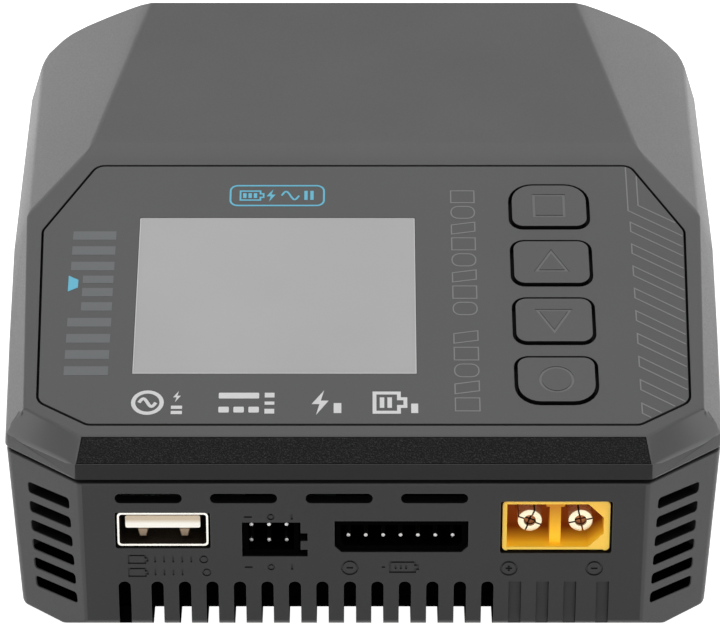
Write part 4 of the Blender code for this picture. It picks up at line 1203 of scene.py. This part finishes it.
def screw_look(node, out, head_r, head_t):
    """Pan head with a cross recess; out is the direction that the head faces."""
    b = node_box(node)
    if out == "rear":
        at, length = behind(b), b[3] - b[2]
    else:
        x, y, _ = middle_of(b)
        at, length = shift(x, y, b[4]) @ rotation(180, "X"), b[5] - b[4]
    shank, pitch = 1.15, 0.6
    profile = [(0, -length), (shank * 0.6, -length), (shank, -length + 1.0)]
    z = -length + 1.0
    while z < -head_t - 1.6:
        profile += [(shank - 0.22, z + pitch / 2), (shank, z + pitch)]
        z += pitch
    profile += [(shank, -head_t), (head_r, -head_t), (head_r, -head_t * 0.6), (head_r * 0.93, -head_t * 0.32),
                (head_r * 0.72, -head_t * 0.1), (head_r * 0.4, 0.0), (0, 0.0)]
    head = skin(node + "_head", [lathe(profile, 32)], at)
    cross = [loft([(rect(-0.25, 0.25, -0.7, 0.7), -1.0), (rect(-0.38, 0.38, -1.35, 1.35), 0.3)]),
             loft([(rect(-0.7, 0.7, -0.25, 0.25), -1.0), (rect(-1.35, 1.35, -0.38, 0.38), 0.3)])]
    carve(head, [skin("cross_a", cross[:1], at), skin("cross_b", cross[1:], at)])
    stand(head, STEEL, [node])


for k in range(1, 5):
    screw_look(f"fan_screw_{k}", "rear", 2.4, 1.4)
    screw_look(f"case_screw_{k}", "down", 2.3, 2.0)
    b = node_box(f"foot_{k}")
    x, y, _ = middle_of(b)
    profile = [(0, 0.25), (2.6, 0.25), (3.1, 0.05), (3.4, 0.0), (3.75, 0.0), (3.93, 0.1), (4.0, 0.3), (4.0, b[5]),
               (0, b[5])]
    stand(skin(f"rubber_foot_{k}", [lathe(profile, 48)], shift(x, y, 0)), RUBBER, [f"foot_{k}"])

# ---- CAD nodes that keep their own mesh ----
KEPT = {"fan_frame": REAR_LOOK, "lcd_module": DISPLAY_BACK, "heatsink": ALUMINIUM, "fuse": CERAMIC}
for look, nodes in ((BOARD, ["panel_board", "main_board", "supply_board"]), (PORT, ["buzzer"]),
                    (FERRITE, ["transformer", "inductor_1", "inductor_2"]),
                    (SLEEVE, [f"capacitor_{k}" for k in range(1, 5)]), (PORT, [f"switch_{k}" for k in range(1, 5)])):
    KEPT.update(dict.fromkeys(nodes, look))
for node, look in KEPT.items():
    obj = frame["nodes"][node]
    for k in range(max(1, len(obj.material_slots))):
        if not obj.material_slots:
            obj.data.materials.append(look)
        obj.material_slots[k].material = look


# ---- floor, lights and camera ----
def floor_look():
    look = Look("floor_white")
    return look.done({"Base Color": look.tint(look.noise(3.0), (0.5, 0.5, 0.5), (0.52, 0.52, 0.52)), "Roughness": 0.9,
                      "Emission Color": (1.0, 1.0, 1.0, 1.0), "Emission Strength": 1.0, "Specular IOR Level": 0.1})


bm = bmesh.new()
bmesh.ops.create_grid(bm, x_segments=8, y_segments=8, size=3.0)
floor = as_object("floor", bm)
floor.data.materials.append(floor_look())


def soft_light(name, at, toward, size, power):
    data = bpy.data.lights.new(name, "AREA")
    data.shape = "RECTANGLE"
    data.size, data.size_y = size
    data.energy = power
    obj = linked(name, data)
    obj.location = at
    obj.rotation_euler = (Vector(toward) - Vector(at)).to_track_quat("-Z", "Y").to_euler()


soft_light("top", (0.0, 0.35, 1.3), (0.0, 0.1, 0.0), (2.4, 2.4), 20.0)
soft_light("back_left", (-1.0, 1.3, 0.45), (0.0, 0.0, 0.03), (1.3, 0.9), 5.0)
soft_light("back_right", (1.0, 1.3, 0.45), (0.0, 0.0, 0.03), (1.3, 0.9), 5.0)
soft_light("front", (0.0, -1.3, 0.35), (0.0, 0.0, 0.02), (1.4, 0.6), 3.0)

world = bpy.data.worlds.new("studio")
world.use_nodes = True
background = world.node_tree.nodes["Background"].inputs
background["Color"].default_value = (1.0, 1.0, 1.0, 1.0)
background["Strength"].default_value = 0.25
bpy.context.scene.world = world
bpy.context.scene.view_settings.view_transform = "Standard"

camera = linked("camera", bpy.data.cameras.new("camera"))
camera.data.lens = 202.0
camera.data.sensor_width = 36.0
camera.data.clip_start, camera.data.clip_end = 0.01, 20.0
camera.data.dof.use_dof = False
camera.location = (-0.00053, -0.5564, 0.30647)
camera.rotation_euler = (radians(90 - 26.7), 0.0, 0.0)
bpy.context.scene.camera = camera
